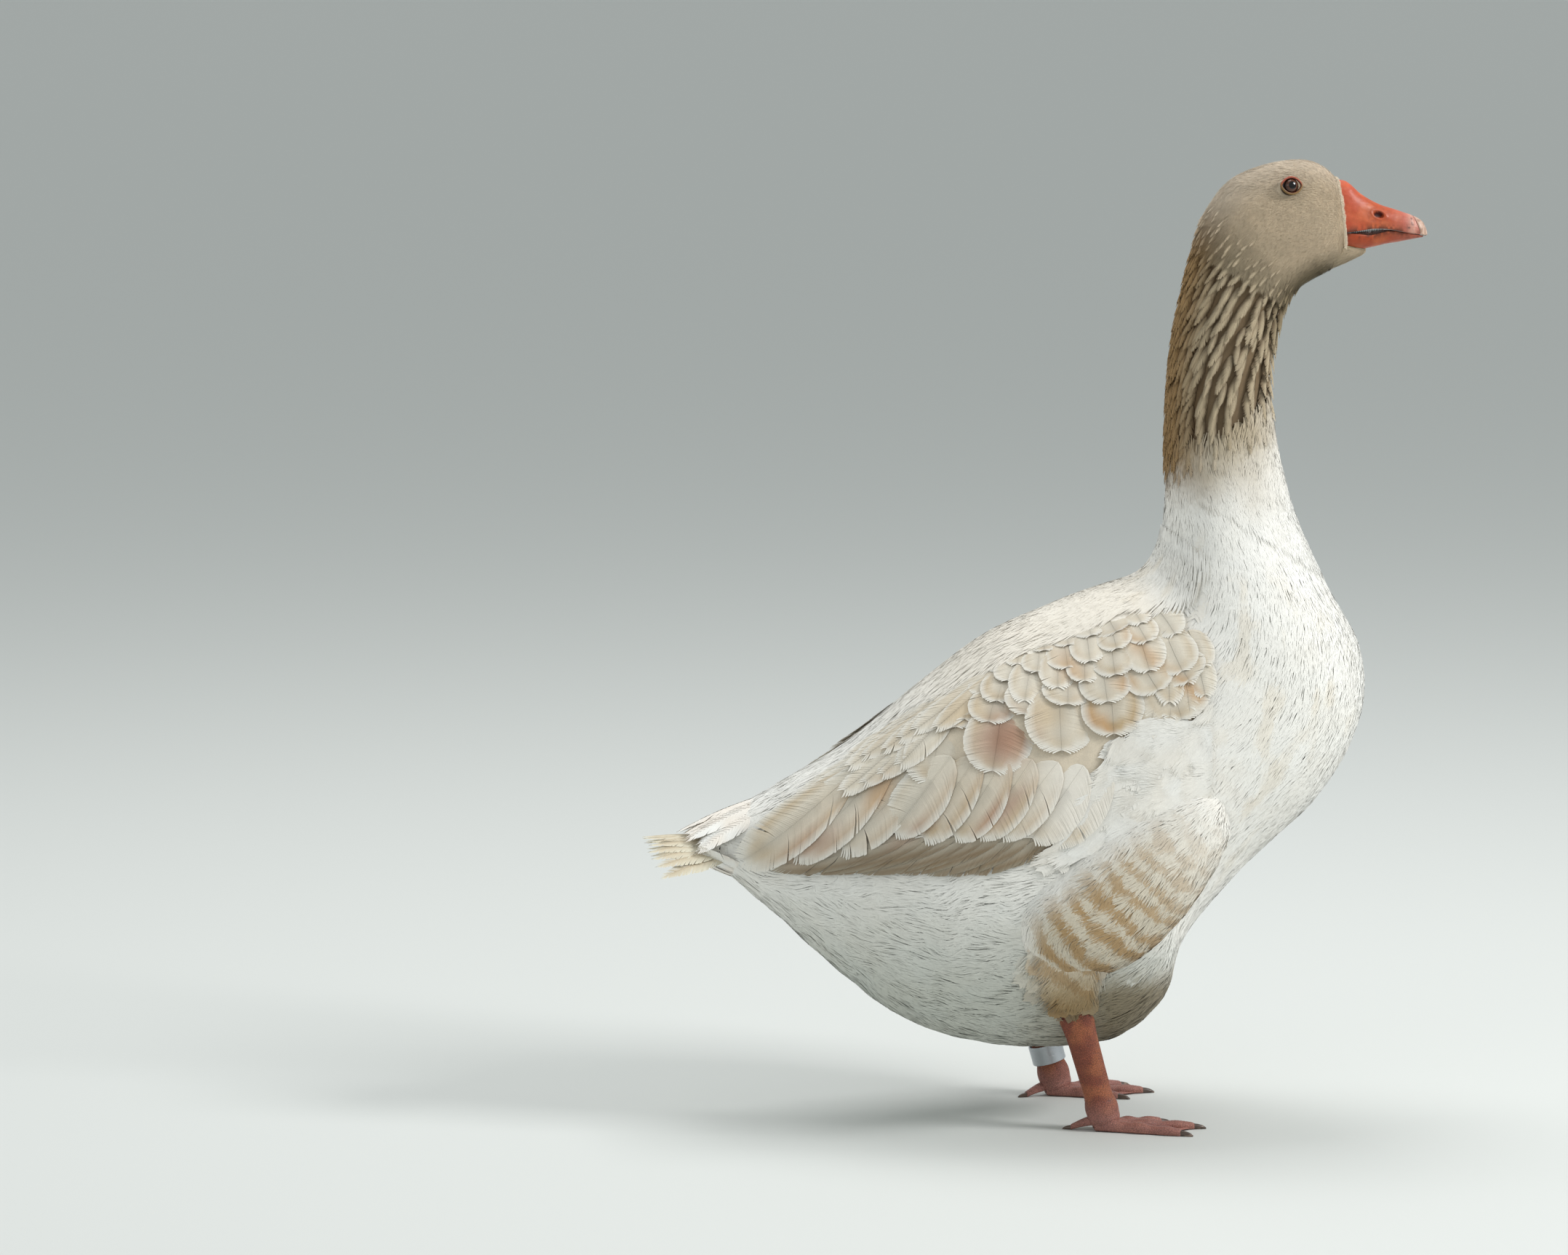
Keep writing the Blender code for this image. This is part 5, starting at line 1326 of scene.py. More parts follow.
for label, side, back in SIDES:
    parts = []
    made_so_far, points_so_far = 0, 0
    for kind, root_0, tip_0, root_1, tip_1, amount, half, rise, over, barbs, splits, buff in WING_TIERS:
        mix = (np.arange(amount) / max(amount - 1, 1))[:, None]
        root = np.array(root_0) * (1 - mix) + np.array(root_1) * mix
        tip = np.array(tip_0) * (1 - mix) + np.array(tip_1) * mix
        uneven = 1.0 if kind in ("flight", "tertial") else 2.0
        tip = tip + draw.normal(0, 1, tip.shape) * np.array([0.0012, 0.6]) * uneven
        t = np.linspace(0, 1, FEATHER_STATIONS)
        path = root[:, None] + (tip - root)[:, None] * t[None, :, None]
        path[..., 1] += (np.sin(t * math.pi) * draw.normal(0, 0.8, (amount, 1)))
        place, out = on_bed(path[..., 0], path[..., 1])
        close = 0.28 + 0.72 * smooth_step(12, 44, path[..., 1])
        order = np.arange(amount)[:, None] * over * 0.00030
        lift = wing_lift(path[..., 0], wing_share(path[..., 0], path[..., 1]))
        lift = lift + (rise * t**0.8 + order) * close + 0.0002
        points, quads, feather, where, y = vanes(
            place + out * lift[..., None], out, half * draw.uniform(0.9, 1.1, amount), 0.0016, barbs * 5 // 4,
            0.20 if half > 0.013 else 0.26, 0.52, 2.0, roll=-0.06 * over * close.mean(1), splits=splits,
            fray=0.3, shaft=0.0004, ridge=0.00006, barb_tip=0.62,
        )
        strength = np.clip(buff * draw.uniform(0.35, 1.5, amount), 0, 1)
        tint, rim = vane_tint(kind, strength[feather], where, y, cloudiness(points, 0.012, 9))
        if kind == "greater":
            tint = blend(tint, blend(WHITE, CREAM, 0.5), 0.9 * smooth_step(-0.030, 0.015, points[:, 0]))
        tint = wing_marks(tint, points, 1 - rim)
        tint = tint * (1 - 0.16 * ((y == 0) & (where > 0.3)))[:, None]
        uv = vane_map(feather + made_so_far, where, y, quads, CELLS)
        parts.append((points, quads + points_so_far, tint, uv, along_feather(out, feather, where)))
        made_so_far += amount
        points_so_far += len(points)
    points, quads, tint, uv, soft = (np.concatenate(part) for part in zip(*parts))
    if side < 0:
        points, quads, uv = points * [1, -1, 1], quads[:, ::-1], uv.reshape(-1, 4, 2)[:, ::-1].reshape(-1, 2)
    add_piece(f"wing_feathers_{label}", points, quads, wing_plumage, tint, uv, (f"wing_{label}",),
              soft=soft * [1, side, 1], share=0.35)
    rows, columns = 60, 40
    x, share = grid_of(np.linspace(0.120, -0.222, rows), np.linspace(0, 1, columns))
    where, top, low = np.transpose(WING_EDGE)
    place, out = on_bed(x, np.interp(x, where, top) * (1 - share) + np.interp(x, where, low) * share)
    rim = np.minimum(np.minimum(share, 1 - share) / 0.10, np.minimum((0.120 - x), (x + 0.222)) / 0.02)
    rim = smooth_step(0, 1, rim)
    bed = place + out * (wing_lift(x, share) * rim - 0.007 * (1 - rim))[..., None]
    flip = np.array([1.0, side, 1.0])
    points = bed.reshape(-1, 3) * flip
    quads = facing(points, grid_faces(rows, columns), out.reshape(-1, 3) * flip)
    add_piece(f"wing_bed_{label}", points, quads, (skin_down[0], "wing_plumage"), linear("#DACDB8"),
              grid_uv(rows, columns))
print("feathers in each wing:", made_so_far)

# %% [markdown]
# White ruffled feathers of the flank stand up over the wing's lower front edge, and feathers of the back lie
# over its upper edge. They grow where wing and trunk meet, so they are placed on the wing's bed.

# %% Feathers over the wing's edges
def on_ruffle(x, degrees):
    """Point, normal and step sizes on the wing's raised bed."""
    values = read_table(bed_table, x, degrees)
    lift = wing_lift(x, wing_share(x, degrees)) + 0.0005
    raised = values[..., :3] + values[..., 3:6] * lift[..., None]
    return raised, unit(values[..., 3:6]), values[..., 6], values[..., 7]


def ruffle_roots(amount):
    """Roots below the line of the coverts' tips, from the bend of the wing back to the flight feathers."""
    x, degrees = draw.uniform(-0.035, 0.122, amount), draw.uniform(50, 106, amount)
    upper = np.interp(x, (-0.012, 0.006, 0.022, 0.040, 0.050, 0.08, 0.105, 0.122),
                      (108, 99, 89, 76, 66, 62, 62, 60))
    upper = upper + 5 * (cloudiness(np.stack([x, degrees * 0.002, x * 0], -1), 0.012, 47) - 0.5)
    return x[degrees > upper], degrees[degrees > upper]


def ruffle_uv(x, degrees):
    return np.stack([x * 4 + 0.2, degrees / 120], -1)


for label, side, back in SIDES:
    def on_side(x, degrees):
        place, out, along, across = on_ruffle(x, degrees)
        return place * [1, side, 1], out * [1, side, 1], along, across

    x, degrees = ruffle_roots(420)
    lie = side * (0.5 + 0.5 * draw.normal(0, 1, len(x)))
    tint = np.tile(blend(WHITE, CREAM, 0.25), (len(x), 1))
    tile_coat(f"coat_ruffle_{label}", x, degrees, on_side, np.abs(lie),
              0.020 * draw.uniform(0.7, 1.2, len(x)), 0.0070, 0.0, 0.0018, lambda feather, t: tint[feather],
              10, ruffle_uv(x, degrees))
    x, degrees = ruffle_roots(26000)
    place = on_side(x, degrees)[0]
    turn = 0.5 + (cloudiness(place, 0.016, 43) - 0.5) * 2.2 + draw.normal(0, 0.08, len(x))
    high = 0.0016 + 0.0026 * cloudiness(place, 0.011, 44)
    strand_coat(f"strands_ruffle_{label}", x, degrees, on_side, turn, 0.012 * draw.uniform(0.7, 1.3, len(x)),
                0.00050 * draw.uniform(0.7, 1.3, len(x)), high,
                blend(WHITE, CREAM, 0.5 * cloudiness(place, 0.012, 45)), ruffle_uv(x, degrees),
                tilt=0.1, sink=0.0)

s, phi = scatter_on_form(1.6, 10.6, 0.0090)
round_it = signed(phi)
reach = np.interp(s, (1.6, 3.0, 7.5, 9.2, 10.6), (0.75, 0.42, 0.42, 0.68, 0.85))
shown = np.abs(round_it) < reach
s, phi, round_it, reach = s[shown], phi[shown], round_it[shown], reach[shown]
base = form_tint(s, phi)
at_edge = smooth_step(0.65, 1.0, np.abs(round_it) / reach) * smooth_step(8.0, 9.5, s)
high = np.interp(s, (1.6, 2.6, 4.2, 7.5, 9.4, 10.6), (0.0004, 0.0020, 0.0048, 0.0048, 0.0034, 0.0004))
turn = 0.22 * np.clip(round_it / 0.3, -1, 1) + draw.normal(0, 0.12, len(s))
tile_coat("coat_mantle", s, phi, on_form, turn,
          0.028 * draw.uniform(0.8, 1.2, len(s)), 0.0085, 0.0, high * (1 - at_edge),
          lambda feather, t: base[feather], 12)
s, phi = draw.uniform(1.4, 10.9, 24000), draw.normal(0, 0.36, 24000)
shown = np.abs(phi) < np.interp(s, (1.6, 3.0, 7.5, 9.2, 10.6), (0.75, 0.46, 0.46, 0.72, 0.85))
s, phi = s[shown], phi[shown]
turn = 0.2 * np.clip(phi / 0.3, -1, 1) + (cloudiness(on_form(s, phi)[0], 0.018, 49) - 0.5) * 0.6
strand_coat("strands_mantle", s, phi, on_form, turn, 0.016 * draw.uniform(0.7, 1.3, len(s)),
            0.00055 * draw.uniform(0.7, 1.3, len(s)),
            np.interp(s, (1.4, 2.4, 4.0, 7.5, 9.4, 10.6), (0.0010, 0.0034, 0.0056, 0.0056, 0.0040, 0.0010)),
            form_tint(s, phi), tilt=0.1, sink=0.0)

# %% [markdown]
# ## Tail
# The tail feathers stand in a shallow fan. They are seen from the side, so their tips stack up, and white
# coverts cover their roots above and below.

# %% Tail
TAIL_COUNT = 14
q = np.linspace(-1, 1, TAIL_COUNT)
bow = q * q
root = np.stack([np.full(TAIL_COUNT, -0.238), 0.0200 * q, 0.2215 - 0.0090 * bow], -1)
tip = np.stack([-0.3050 + 0.0085 * bow + draw.normal(0, 0.0016, TAIL_COUNT), 0.0530 * q,
                0.2222 - 0.0225 * bow + draw.normal(0, 0.0008, TAIL_COUNT)], -1)
t = np.linspace(0, 1, FEATHER_STATIONS)
line = root[:, None] + (tip - root)[:, None] * t[None, :, None]
line[..., 2] += 0.0020 * np.sin(t * math.pi) + (0.0008 * (np.arange(TAIL_COUNT) % 2))[:, None]
out = unit(np.stack([np.full(TAIL_COUNT, -0.15), 0.75 * q, np.ones(TAIL_COUNT)], -1))
out = np.repeat(out[:, None], FEATHER_STATIONS, 1)
points, quads, feather, where, y = vanes(line, out, np.full(TAIL_COUNT, 0.0092), 0.0014, 44, 0.20, 0.50, 1.3,
                                         splits=3, fray=0.9, shaft=0.0006, barb_tip=0.5)
centre = np.clip(1 - np.abs(y) * 1.2, 0, 1) * smooth_step(1, 0.8, where)
tint = blend(linear("#D9D3BF"), linear("#BFA988"), 0.6 * centre)
add_piece("tail_feathers", points, quads, wing_plumage, tint, vane_map(feather, where, y, quads, 4),
          ("tail",), soft=along_feather(out, feather, where), share=0.35)

COVERT_COUNT = 11
q = np.linspace(-1, 1, COVERT_COUNT)
bow = q * q
ends = []
for above, root_x, root_z, tip_x, tip_z in (
    (1, -0.2080, 0.2560, -0.2740, 0.2266), (-1, -0.2150, 0.1850, -0.2700, 0.2090),
):
    root = np.stack([np.full(COVERT_COUNT, root_x), 0.0220 * q, root_z - above * 0.0070 * bow], -1)
    tip = np.stack([tip_x + 0.0060 * bow + draw.normal(0, 0.0030, COVERT_COUNT), 0.0340 * q,
                    tip_z - above * 0.0120 * bow], -1)
    out = unit(np.stack([np.full(COVERT_COUNT, -0.2), 0.7 * q, np.full(COVERT_COUNT, above)], -1))
    ends.append((root, tip, out))
root, tip, out = (np.concatenate(part) for part in zip(*ends))
line = root[:, None] + (tip - root)[:, None] * t[None, :, None]
line = line + out[:, None] * (0.0025 * np.sin(t * math.pi))[None, :, None]
out = np.repeat(out[:, None], FEATHER_STATIONS, 1)
points, quads, feather, where, y = vanes(line, out, np.full(len(root), 0.0080), 0.0020, 26, 0.25, 0.5, 1.6,
                                         splits=2, fray=0.9, shaft=0.0, barb_tip=0.6)
tint = blend(WHITE, linear("#E3CDB4"), 0.35 * smooth_step(0.3, 0.7, cloudiness(points, 0.012, 57)))
add_piece("tail_coverts", points, quads, wing_plumage, tint, vane_map(feather, where, y, quads, 5),
          soft=along_feather(out, feather, where), share=0.5)

# %% [markdown]
# ## Bill
# A goose's bill is bone under a thin waxy skin, orange here, with a pale horn nail at its tip. Along each
# edge stand lamellae, small combs that cut grass, and they show where the mouth line gapes in a grin. Each
# half is a row of cross-sections: a dome or a bowl whose width and height are read from curves drawn from
# the side.

# %% Bill's curves and skin
BILL_BASE_TOP, BILL_BASE_LOW = (0.2345, 0.7303), (0.2400, 0.6716)
BILL_BASE, BILL_END = 0.23486, 0.3059
BILL_LINING = 16      # columns of the bill's inner side
CULMEN = ((0.234, 0.7300), (0.2415, 0.7284), (0.2515, 0.7200), (0.2665, 0.7113), (0.283, 0.7058),
          (0.296, 0.7008), (0.3030, 0.6958), (0.3062, 0.6912))
TOMIUM = ((0.234, 0.6893), (0.2536, 0.6911), (0.2727, 0.6917), (0.2919, 0.6883), (0.3062, 0.6866))
LOWER_BILL = ((0.234, 0.6772), (0.2548, 0.6766), (0.2727, 0.6798), (0.2919, 0.6832), (0.3025, 0.6852))
BILL_HALF_WIDTH = ((0.234, 0.0172), (0.245, 0.0165), (0.262, 0.0140), (0.280, 0.0122), (0.294, 0.0114),
                   (0.3015, 0.0088), (0.3062, 0.0042))
MOUTH_GAP = ((0.234, 0.0004), (0.246, 0.0020), (0.266, 0.0022), (0.278, 0.0006), (0.3025, 0.0005))
NOSTRIL = (0.2655, 0.7032)
GRIN = (0.2600, 0.0095)


def along_curve(knots, x):
    """Reads a list of (place, value) on a cubic between neighbours, with the mean slope at each."""
    at, value = np.transpose(knots)
    slope = np.gradient(value, at)
    low = np.clip(np.searchsorted(at, x) - 1, 0, len(at) - 2)
    width = at[low + 1] - at[low]
    t = np.clip((x - at[low]) / width, 0, 1)
    return ((2 * t**3 - 3 * t**2 + 1) * value[low] + (t**3 - 2 * t**2 + t) * width * slope[low]
            + (3 * t**2 - 2 * t**3) * value[low + 1] + (t**3 - t**2) * width * slope[low + 1])


def lean_back(x, z):
    """The bill's base leans: low points stand further forward, less and less towards the tip."""
    lean = (BILL_BASE_LOW[0] - BILL_BASE_TOP[0]) / (BILL_BASE_TOP[1] - BILL_BASE_LOW[1])
    return x + lean * np.clip((0.262 - x) / (0.262 - BILL_BASE), 0, 1) * (BILL_BASE_TOP[1] - z)


def upper_edge(x):
    return along_curve(TOMIUM, x) + 0.0006 * bell(x, *GRIN)


def lower_edge(x):
    return along_curve(TOMIUM, x) - along_curve(MOUTH_GAP, x) - 0.0016 * bell(x, *GRIN)


def bill_relief(x, y, z):
    """Nostril as a hollow oval with a low rim, and fine wrinkles that run along the bill."""
    along, up = x - NOSTRIL[0], z - NOSTRIL[1]
    a, b = along * 0.94 - up * 0.34, along * 0.34 + up * 0.94
    from_nostril = np.hypot(a / 0.0047, b / 0.0025)
    pit = -0.0032 * smooth_step(1.05, 0.55, from_nostril) + 0.0004 * bell(from_nostril, 1.35, 0.25)
    place = np.stack([x * 0.35, y, z], -1)
    wrinkles = 0.00022 * (cloudiness(place, 0.0012, 61) - 0.5) + 0.0004 * (cloudiness(place, 0.004, 62) - 0.5)
    return pit * (np.abs(y) > 0.002) + wrinkles


def bill_tint(points, tomium_at, is_upper):
    """Orange skin, pink towards the tip, darker brown in patches beside the mouth line, dark in the nostril
    as painted shade, and marked dark behind the nail.
    """
    x, z = points[:, 0], points[:, 2]
    patch, fine = cloudiness(points, 0.006, 51), cloudiness(points, 0.0018, 52)
    mixed = 0.5 * patch + 0.5 * fine
    tint = blend(linear("#B64F29"), linear("#C9683F"), smooth_step(0.3, 0.8, patch))
    tint = blend(tint, linear("#C4543A"), 0.6 * smooth_step(0.262, 0.240, x) * is_upper)
    tint = blend(tint, linear("#BC6C60"), 0.75 * smooth_step(0.268, 0.292, x))
    # Darker brown in patches along the mouth line.
    mouth_line_brown = 0.85 * bell(z - tomium_at, 0.0, 0.0036) * smooth_step(0.35, 0.62, mixed)
    tint = blend(tint, linear("#5E2E1E"), mouth_line_brown)
    if is_upper:
        from_nostril = np.hypot((x - NOSTRIL[0]) / 0.0050, (z - NOSTRIL[1]) / 0.0030)
        halo = 0.5 * bell(from_nostril, 1.5, 0.8) * smooth_step(0.4, 0.6, mixed)
        tint = blend(tint, linear("#9A4A36"), halo)
        # Painted shade: the inside of the nostril's pit is near black.
        tint = blend(tint, linear("#4A1712"), 1 - smooth_step(0.55, 0.95, from_nostril))
        tint = blend(tint, linear("#CFA593"), 0.6 * bell(x, 0.2925, 0.0040))
        tint = blend(tint, linear("#55403F"), 0.85 * bell(x, 0.2910, 0.0036) * smooth_step(0.46, 0.58, mixed))
    return tint


def bill_half(first, last, rows, edge, far, half_width, columns=84):
    """Rings of one half, from x first to last. edge is the mouth line, far the curve of its other side.

    A ring goes over the dome, where width is |cos| to the power 0.7 and height sin to the power 0.75, and
    comes back along the mouth side, which is hollow by 1 mm.
    """
    x, turn = grid_of(np.linspace(first, last, rows), np.linspace(0, math.pi, columns))
    c, sn = np.cos(turn), np.sin(turn)
    y = half_width(x) * np.sign(c) * np.abs(c) ** 0.7
    z = edge(x) + (far(x) - edge(x)) * sn**0.75
    x_in, y_in = grid_of(x[:, 0], np.linspace(-0.9, 0.9, BILL_LINING))
    z_in = edge(x_in) + np.sign(far(x_in) - edge(x_in)) * 0.0010 * (1 - y_in**2)
    out = unit(np.stack([np.zeros_like(y), y / half_width(x), sn * np.sign(far(x) - edge(x))], -1))
    relief = bill_relief(x, y, z) * smooth_step(0.0, 0.12, sn)
    outer = np.stack([x, y, z], -1) + out * relief[..., None]
    rings = np.concatenate([outer, np.stack([x_in, y_in * half_width(x_in), z_in], -1)], 1)
    rings[..., 0] = lean_back(rings[..., 0], rings[..., 2])
    return rings


def half_width(x):
    return along_curve(BILL_HALF_WIDTH, x)


bill_skin = mottled("waxy_bill_skin", 0.46, 0.45, 4.0, 0.80, 0.35, 0.10, specular=0.35, subsurface=0.10,
                    coat=0.06)[0], "bill_skin"

rings = bill_half(BILL_BASE, 0.3035, 170, upper_edge, lambda x: along_curve(CULMEN, x) - 0.0004 * (x > 0.294),
                  lambda x: half_width(x) - 0.0004 * (x > 0.294))
points, faces, uv = closed_tube(rings)
tint = bill_tint(points, upper_edge(points[:, 0]), True)
add_piece("bill_upper_skin", points, faces, bill_skin, tint, uv, ("bill_upper",))
rings = bill_half(BILL_BASE, 0.3017, 140, lower_edge, lambda x: along_curve(LOWER_BILL, x),
                  lambda x: half_width(x) * 0.9, columns=56)
points, faces, uv = closed_tube(rings)
# Painted shade: the lower bill, beneath the upper one, is darkened and browned.
tint = bill_tint(points, lower_edge(points[:, 0]), False) * [0.80, 0.70, 0.55]
add_piece("bill_lower_skin", points, faces, bill_skin, tint, uv, ("bill_lower",))

# %% [markdown]
# The nail is a horny shield, convex towards the rear, that hooks over the tip. It stands 0.4 mm proud of the
# bill. The lamellae are small teeth, one millimetre apart.

# %% Nail and lamellae
nail_horn = mottled("polished_nail_horn", 0.42, 0.6, 3.0, 0.82, 0.2, 0.06, specular=0.4, subsurface=0.15,
                    coat=0.08)[0], "nail_horn"
share, turn = grid_of(np.linspace(0, 1, 46), np.linspace(0, math.pi, 48))
start = 0.2992 - 0.0050 * np.sin(turn) ** 1.2
x = start + (BILL_END - start) * np.sin(share * math.pi / 2)
closing = np.sqrt(np.clip(1 - np.clip((x - 0.3012) / (BILL_END + 0.0002 - 0.3012), 0, 1) ** 2.4, 0, 1))
raised = 0.0004 * smooth_step(0.0, 0.10, share)
low = upper_edge(x) - 0.0008 * smooth_step(0.298, 0.304, x)
top = along_curve(CULMEN, x) + raised
wide = np.maximum(half_width(np.minimum(x, 0.3035)) + raised, 0.001) * closing
c, sn = np.cos(turn), np.sin(turn)
middle = low + 0.35 * (top - low)
dome = np.stack([x, wide * np.sign(c) * np.abs(c) ** 0.75,
                 middle + (low + (top - low) * sn**0.75 - middle) * closing], -1)
under = dome[:, -2:0:-1] * 1.0
under[..., 2] = dome[:, -1:, 2] + 0.0006
points, faces, uv = closed_tube(np.concatenate([dome, under], 1))
horn = blend(linear("#C9AA97"), linear("#A98673"), smooth_step(0.45, 0.75, cloudiness(points, 0.0024, 71)))
horn = blend(horn, linear("#B98276"), 0.5 * smooth_step(0.2985, 0.2955, points[:, 0]))
add_piece("bill_nail_horn", points, faces, nail_horn, horn, uv, ("bill_nail",))

place = np.arange(0.2475, 0.2735, 0.0010)
x = np.concatenate([place, place])
side = np.repeat([1.0, -1.0], len(place))
foot_z = lower_edge(x) - 0.0008
head_z = foot_z + (0.0008 + (upper_edge(x) - lower_edge(x)) * 0.62)
corner = np.array([(-1.0, -1.0), (1.0, -1.0), (1.0, 1.0), (-1.0, 1.0)])
square = np.stack([x[:, None] + corner[:, 0] * 0.00032, side[:, None] * half_width(x)[:, None] * 0.80
                   + corner[:, 1] * 0.0006], -1)
levels = [np.concatenate([(square - square.mean(1, keepdims=True)) * size + square.mean(1, keepdims=True),
                          np.broadcast_to(z[:, None, None], (len(x), 4, 1))], -1)
          for size, z in ((1.0, foot_z), (0.9, foot_z * 0.4 + head_z * 0.6), (0.35, head_z))]
parts = [(*closed_tube(np.stack(tooth)), linear("#4A2A1F")) for tooth in zip(*levels)]
points, faces, uv, tint = join(parts)
points[:, 0] = lean_back(points[:, 0], points[:, 2])
add_piece("lamellae", points, faces, nail_horn, tint, uv, smooth=False)
print("lamellae:", len(x))

# %% [markdown]
# ## Eyes
# The eye is a ball 14 mm across that shows through a ring of bare, beaded orange-red lid. The iris is dark
# brown with fine spokes, and the cornea bulges a little and is wet, so it catches the lamps.

# %% Eyes and lids
wet_eye, tree, shader = tinted("wet_cornea_over_iris", 0.06, specular=0.35, coat=0.25)
shader.inputs["Coat Roughness"].default_value = 0.03
LID_RADIUS, LID_THICKNESS, LID_DEPTH = 0.0068, 0.0010, 0.0047


for label, side, back in SIDES:
    away, around = grid_of(np.linspace(0.012, math.pi - 0.012, 70), turns(84))
    size = EYE_RADIUS * (1 + 0.05 * smooth_step(0.80, 0.35, away))
    local = np.stack([np.sin(away) * np.cos(around), np.cos(away), np.sin(away) * np.sin(around)], -1)
    rings = (EYE_CENTRE + (size[..., None] * local) @ EYE_FRAME) * [1, side, 1]
    points, faces, uv = closed_tube(rings)
    spokes = 0.5 + 0.5 * np.sin(around * 41 + 3 * np.sin(around * 7))
    iris = blend(linear("#5A3320"), linear("#2C1910"), 0.5 * spokes + 0.5 * smooth_step(0.5, 0.8, away))
    eye_tint = blend(linear("#070505"), iris, smooth_step(0.40, 0.46, away))
    eye_tint = blend(eye_tint, linear("#150E0B"), smooth_step(0.76, 0.86, away))
    tint = np.concatenate([eye_tint.reshape(-1, 3), np.tile(linear("#070505"), (2, 1))])
    add_piece(f"eyeball_{label}", points, faces, (wet_eye, "eye"), tint, uv, (f"eye_{label}",))
    around, section = grid_of(turns(160), turns(18))
    corner_out = 1 + 0.13 * np.abs(np.cos(around)) ** 9
    spot = np.stack([np.cos(around) * LID_RADIUS * 1.08 * corner_out, np.zeros_like(around),
                     np.sin(around) * LID_RADIUS * 0.92], -1)
    beads = 1 + 0.10 * np.sin(around * 38) * np.cos(section - 0.6) ** 2
    thick = LID_THICKNESS * beads * np.where(np.sin(section) > 0, 0.85, 1.0)
    outward = np.cos(section)[..., None] * unit(spot) + np.sin(section)[..., None] * [0, 1, 0]
    local = spot + thick[..., None] * outward
    rings = (EYE_CENTRE + (local + [0, LID_DEPTH, 0]) @ EYE_FRAME) * [1, side, 1]
    points = rings.reshape(-1, 3)
    centre_line = (EYE_CENTRE + (spot + [0, LID_DEPTH, 0]) @ EYE_FRAME) * [1, side, 1]
    faces = facing(points, grid_faces(160, 18, True, True), points - centre_line.reshape(-1, 3))
    inner = smooth_step(0.1, -0.8, np.cos(section))
    upper_lid = smooth_step(-0.2, 0.5, np.sin(around))
    tint = blend(linear("#86683C"), linear("#9E4A30"), upper_lid)
    tint = blend(tint, linear("#5E2A1E"), inner).reshape(-1, 3)
    add_piece(f"eyelid_{label}", points, faces, bill_skin, tint, grid_uv(160, 18, True, True),
              (f"eye_{label}",))

# %% [markdown]
# ## Legs and feet
# The bare leg is covered by small net-like scales, about 1.4 mm across, and the toes by rows of narrow
# plates. The scales are a Voronoi pattern, whose cell borders are both dark lines and grooves. The web is a
# thin skin that hangs between the toes and wrinkles where they stand close.

# %% Scaly skin
SCALE_SIZE = 1.4
scaly_skin, tree, shader = mottled("scaly_leg_skin", 0.50, 0.5, 7.0, 0.80, 0.3, 0.10, specular=0.4,
                                   subsurface=0.08)
where = add_node(tree, "ShaderNodeTexCoord").outputs["Object"]
cells = add_node(tree, "ShaderNodeTexVoronoi", {"feature": "DISTANCE_TO_EDGE"}, {"Vector": where},
                 Scale=1000 / SCALE_SIZE)
groove = add_node(tree, "ShaderNodeMapRange", {"interpolation_type": "SMOOTHSTEP"},
                  {"Value": cells.outputs["Distance"]}, From_Min=0.0, From_Max=0.20, To_Min=0.55, To_Max=1.0)
darken(tree, shader, groove.outputs["Result"])
under_bump = shader.inputs["Normal"].links[0].from_socket
relief = add_node(tree, "ShaderNodeBump", links={"Height": groove.outputs["Result"], "Normal": under_bump},
                  Strength=0.7, Distance=0.0004)
tree.links.new(relief.outputs["Normal"], shader.inputs["Normal"])
claw_horn = mottled("dark_claw_horn", 0.38, 0.5, 2.5, 0.75, 0.2, 0.05, coat=0.15)[0], "claw_horn"

# %% Legs
LEG_SIZES = ((0.0, 0.0150, 0.0105), (0.12, 0.0138, 0.0090), (0.28, 0.0122, 0.0075), (0.55, 0.0114, 0.0069),
             (0.80, 0.0111, 0.0072), (0.92, 0.0113, 0.0086), (1.0, 0.0124, 0.0095))
TOES = (("middle", 0.0765, 0.02), ("outer", 0.0680, 0.42), ("inner", 0.0575, -0.38))
TOE_SIZES = ((0.0, 0.0070, 0.0130), (0.20, 0.0064, 0.0104), (0.35, 0.0053, 0.0080), (0.50, 0.0060, 0.0086),
             (0.66, 0.0047, 0.0064), (0.80, 0.0052, 0.0068), (1.0, 0.0034, 0.0048))
HEEL_BACK, HIND_LENGTH, HIND_HEADING = 0.0030, 0.0200, 3.45
OVAL_COLUMNS, TOE_COLUMNS = 56, 36
HIND_SIZES = ((0.0, 0.0045, 0.0085, 0.0045), (0.5, 0.0038, 0.0066, 0.0028), (1.0, 0.0026, 0.0042, 0.0))


def oval_rings(centres, down, fore, across):
    """Ovals square to a direction, one at each centre."""
    front = np.cross([0.0, 1.0, 0.0], down)
    turn = turns(OVAL_COLUMNS)
    return (centres[:, None] + (fore[:, None] * np.cos(turn))[..., None] * front
            + (across[:, None] * np.sin(turn))[..., None] * [0.0, 1.0, 0.0])


def toe_rings(heel, heading, reach, half_width, height, base=0.0):
    """Sections of a toe on the floor: a dome above, and below it a rounded, nearly flat sole."""
    ahead = np.array([math.cos(heading), math.sin(heading), 0.0])
    across = np.array([-math.sin(heading), math.cos(heading), 0.0])
    turn = turns(TOE_COLUMNS)
    c, sn = np.cos(turn), np.sin(turn)
    y = np.sign(c) * np.abs(c) ** 0.85
    z = np.where(sn > 0, 0.42 + 0.58 * np.abs(sn) ** 0.85, 0.42 * (1 - np.abs(sn) ** 0.5))
    centre = heel + reach[:, None] * ahead
    return (centre[:, None] + (half_width[:, None] * y)[..., None] * across
            + (height[:, None] * z + np.reshape(base, (-1, 1)))[..., None] * [0.0, 0.0, 1.0])


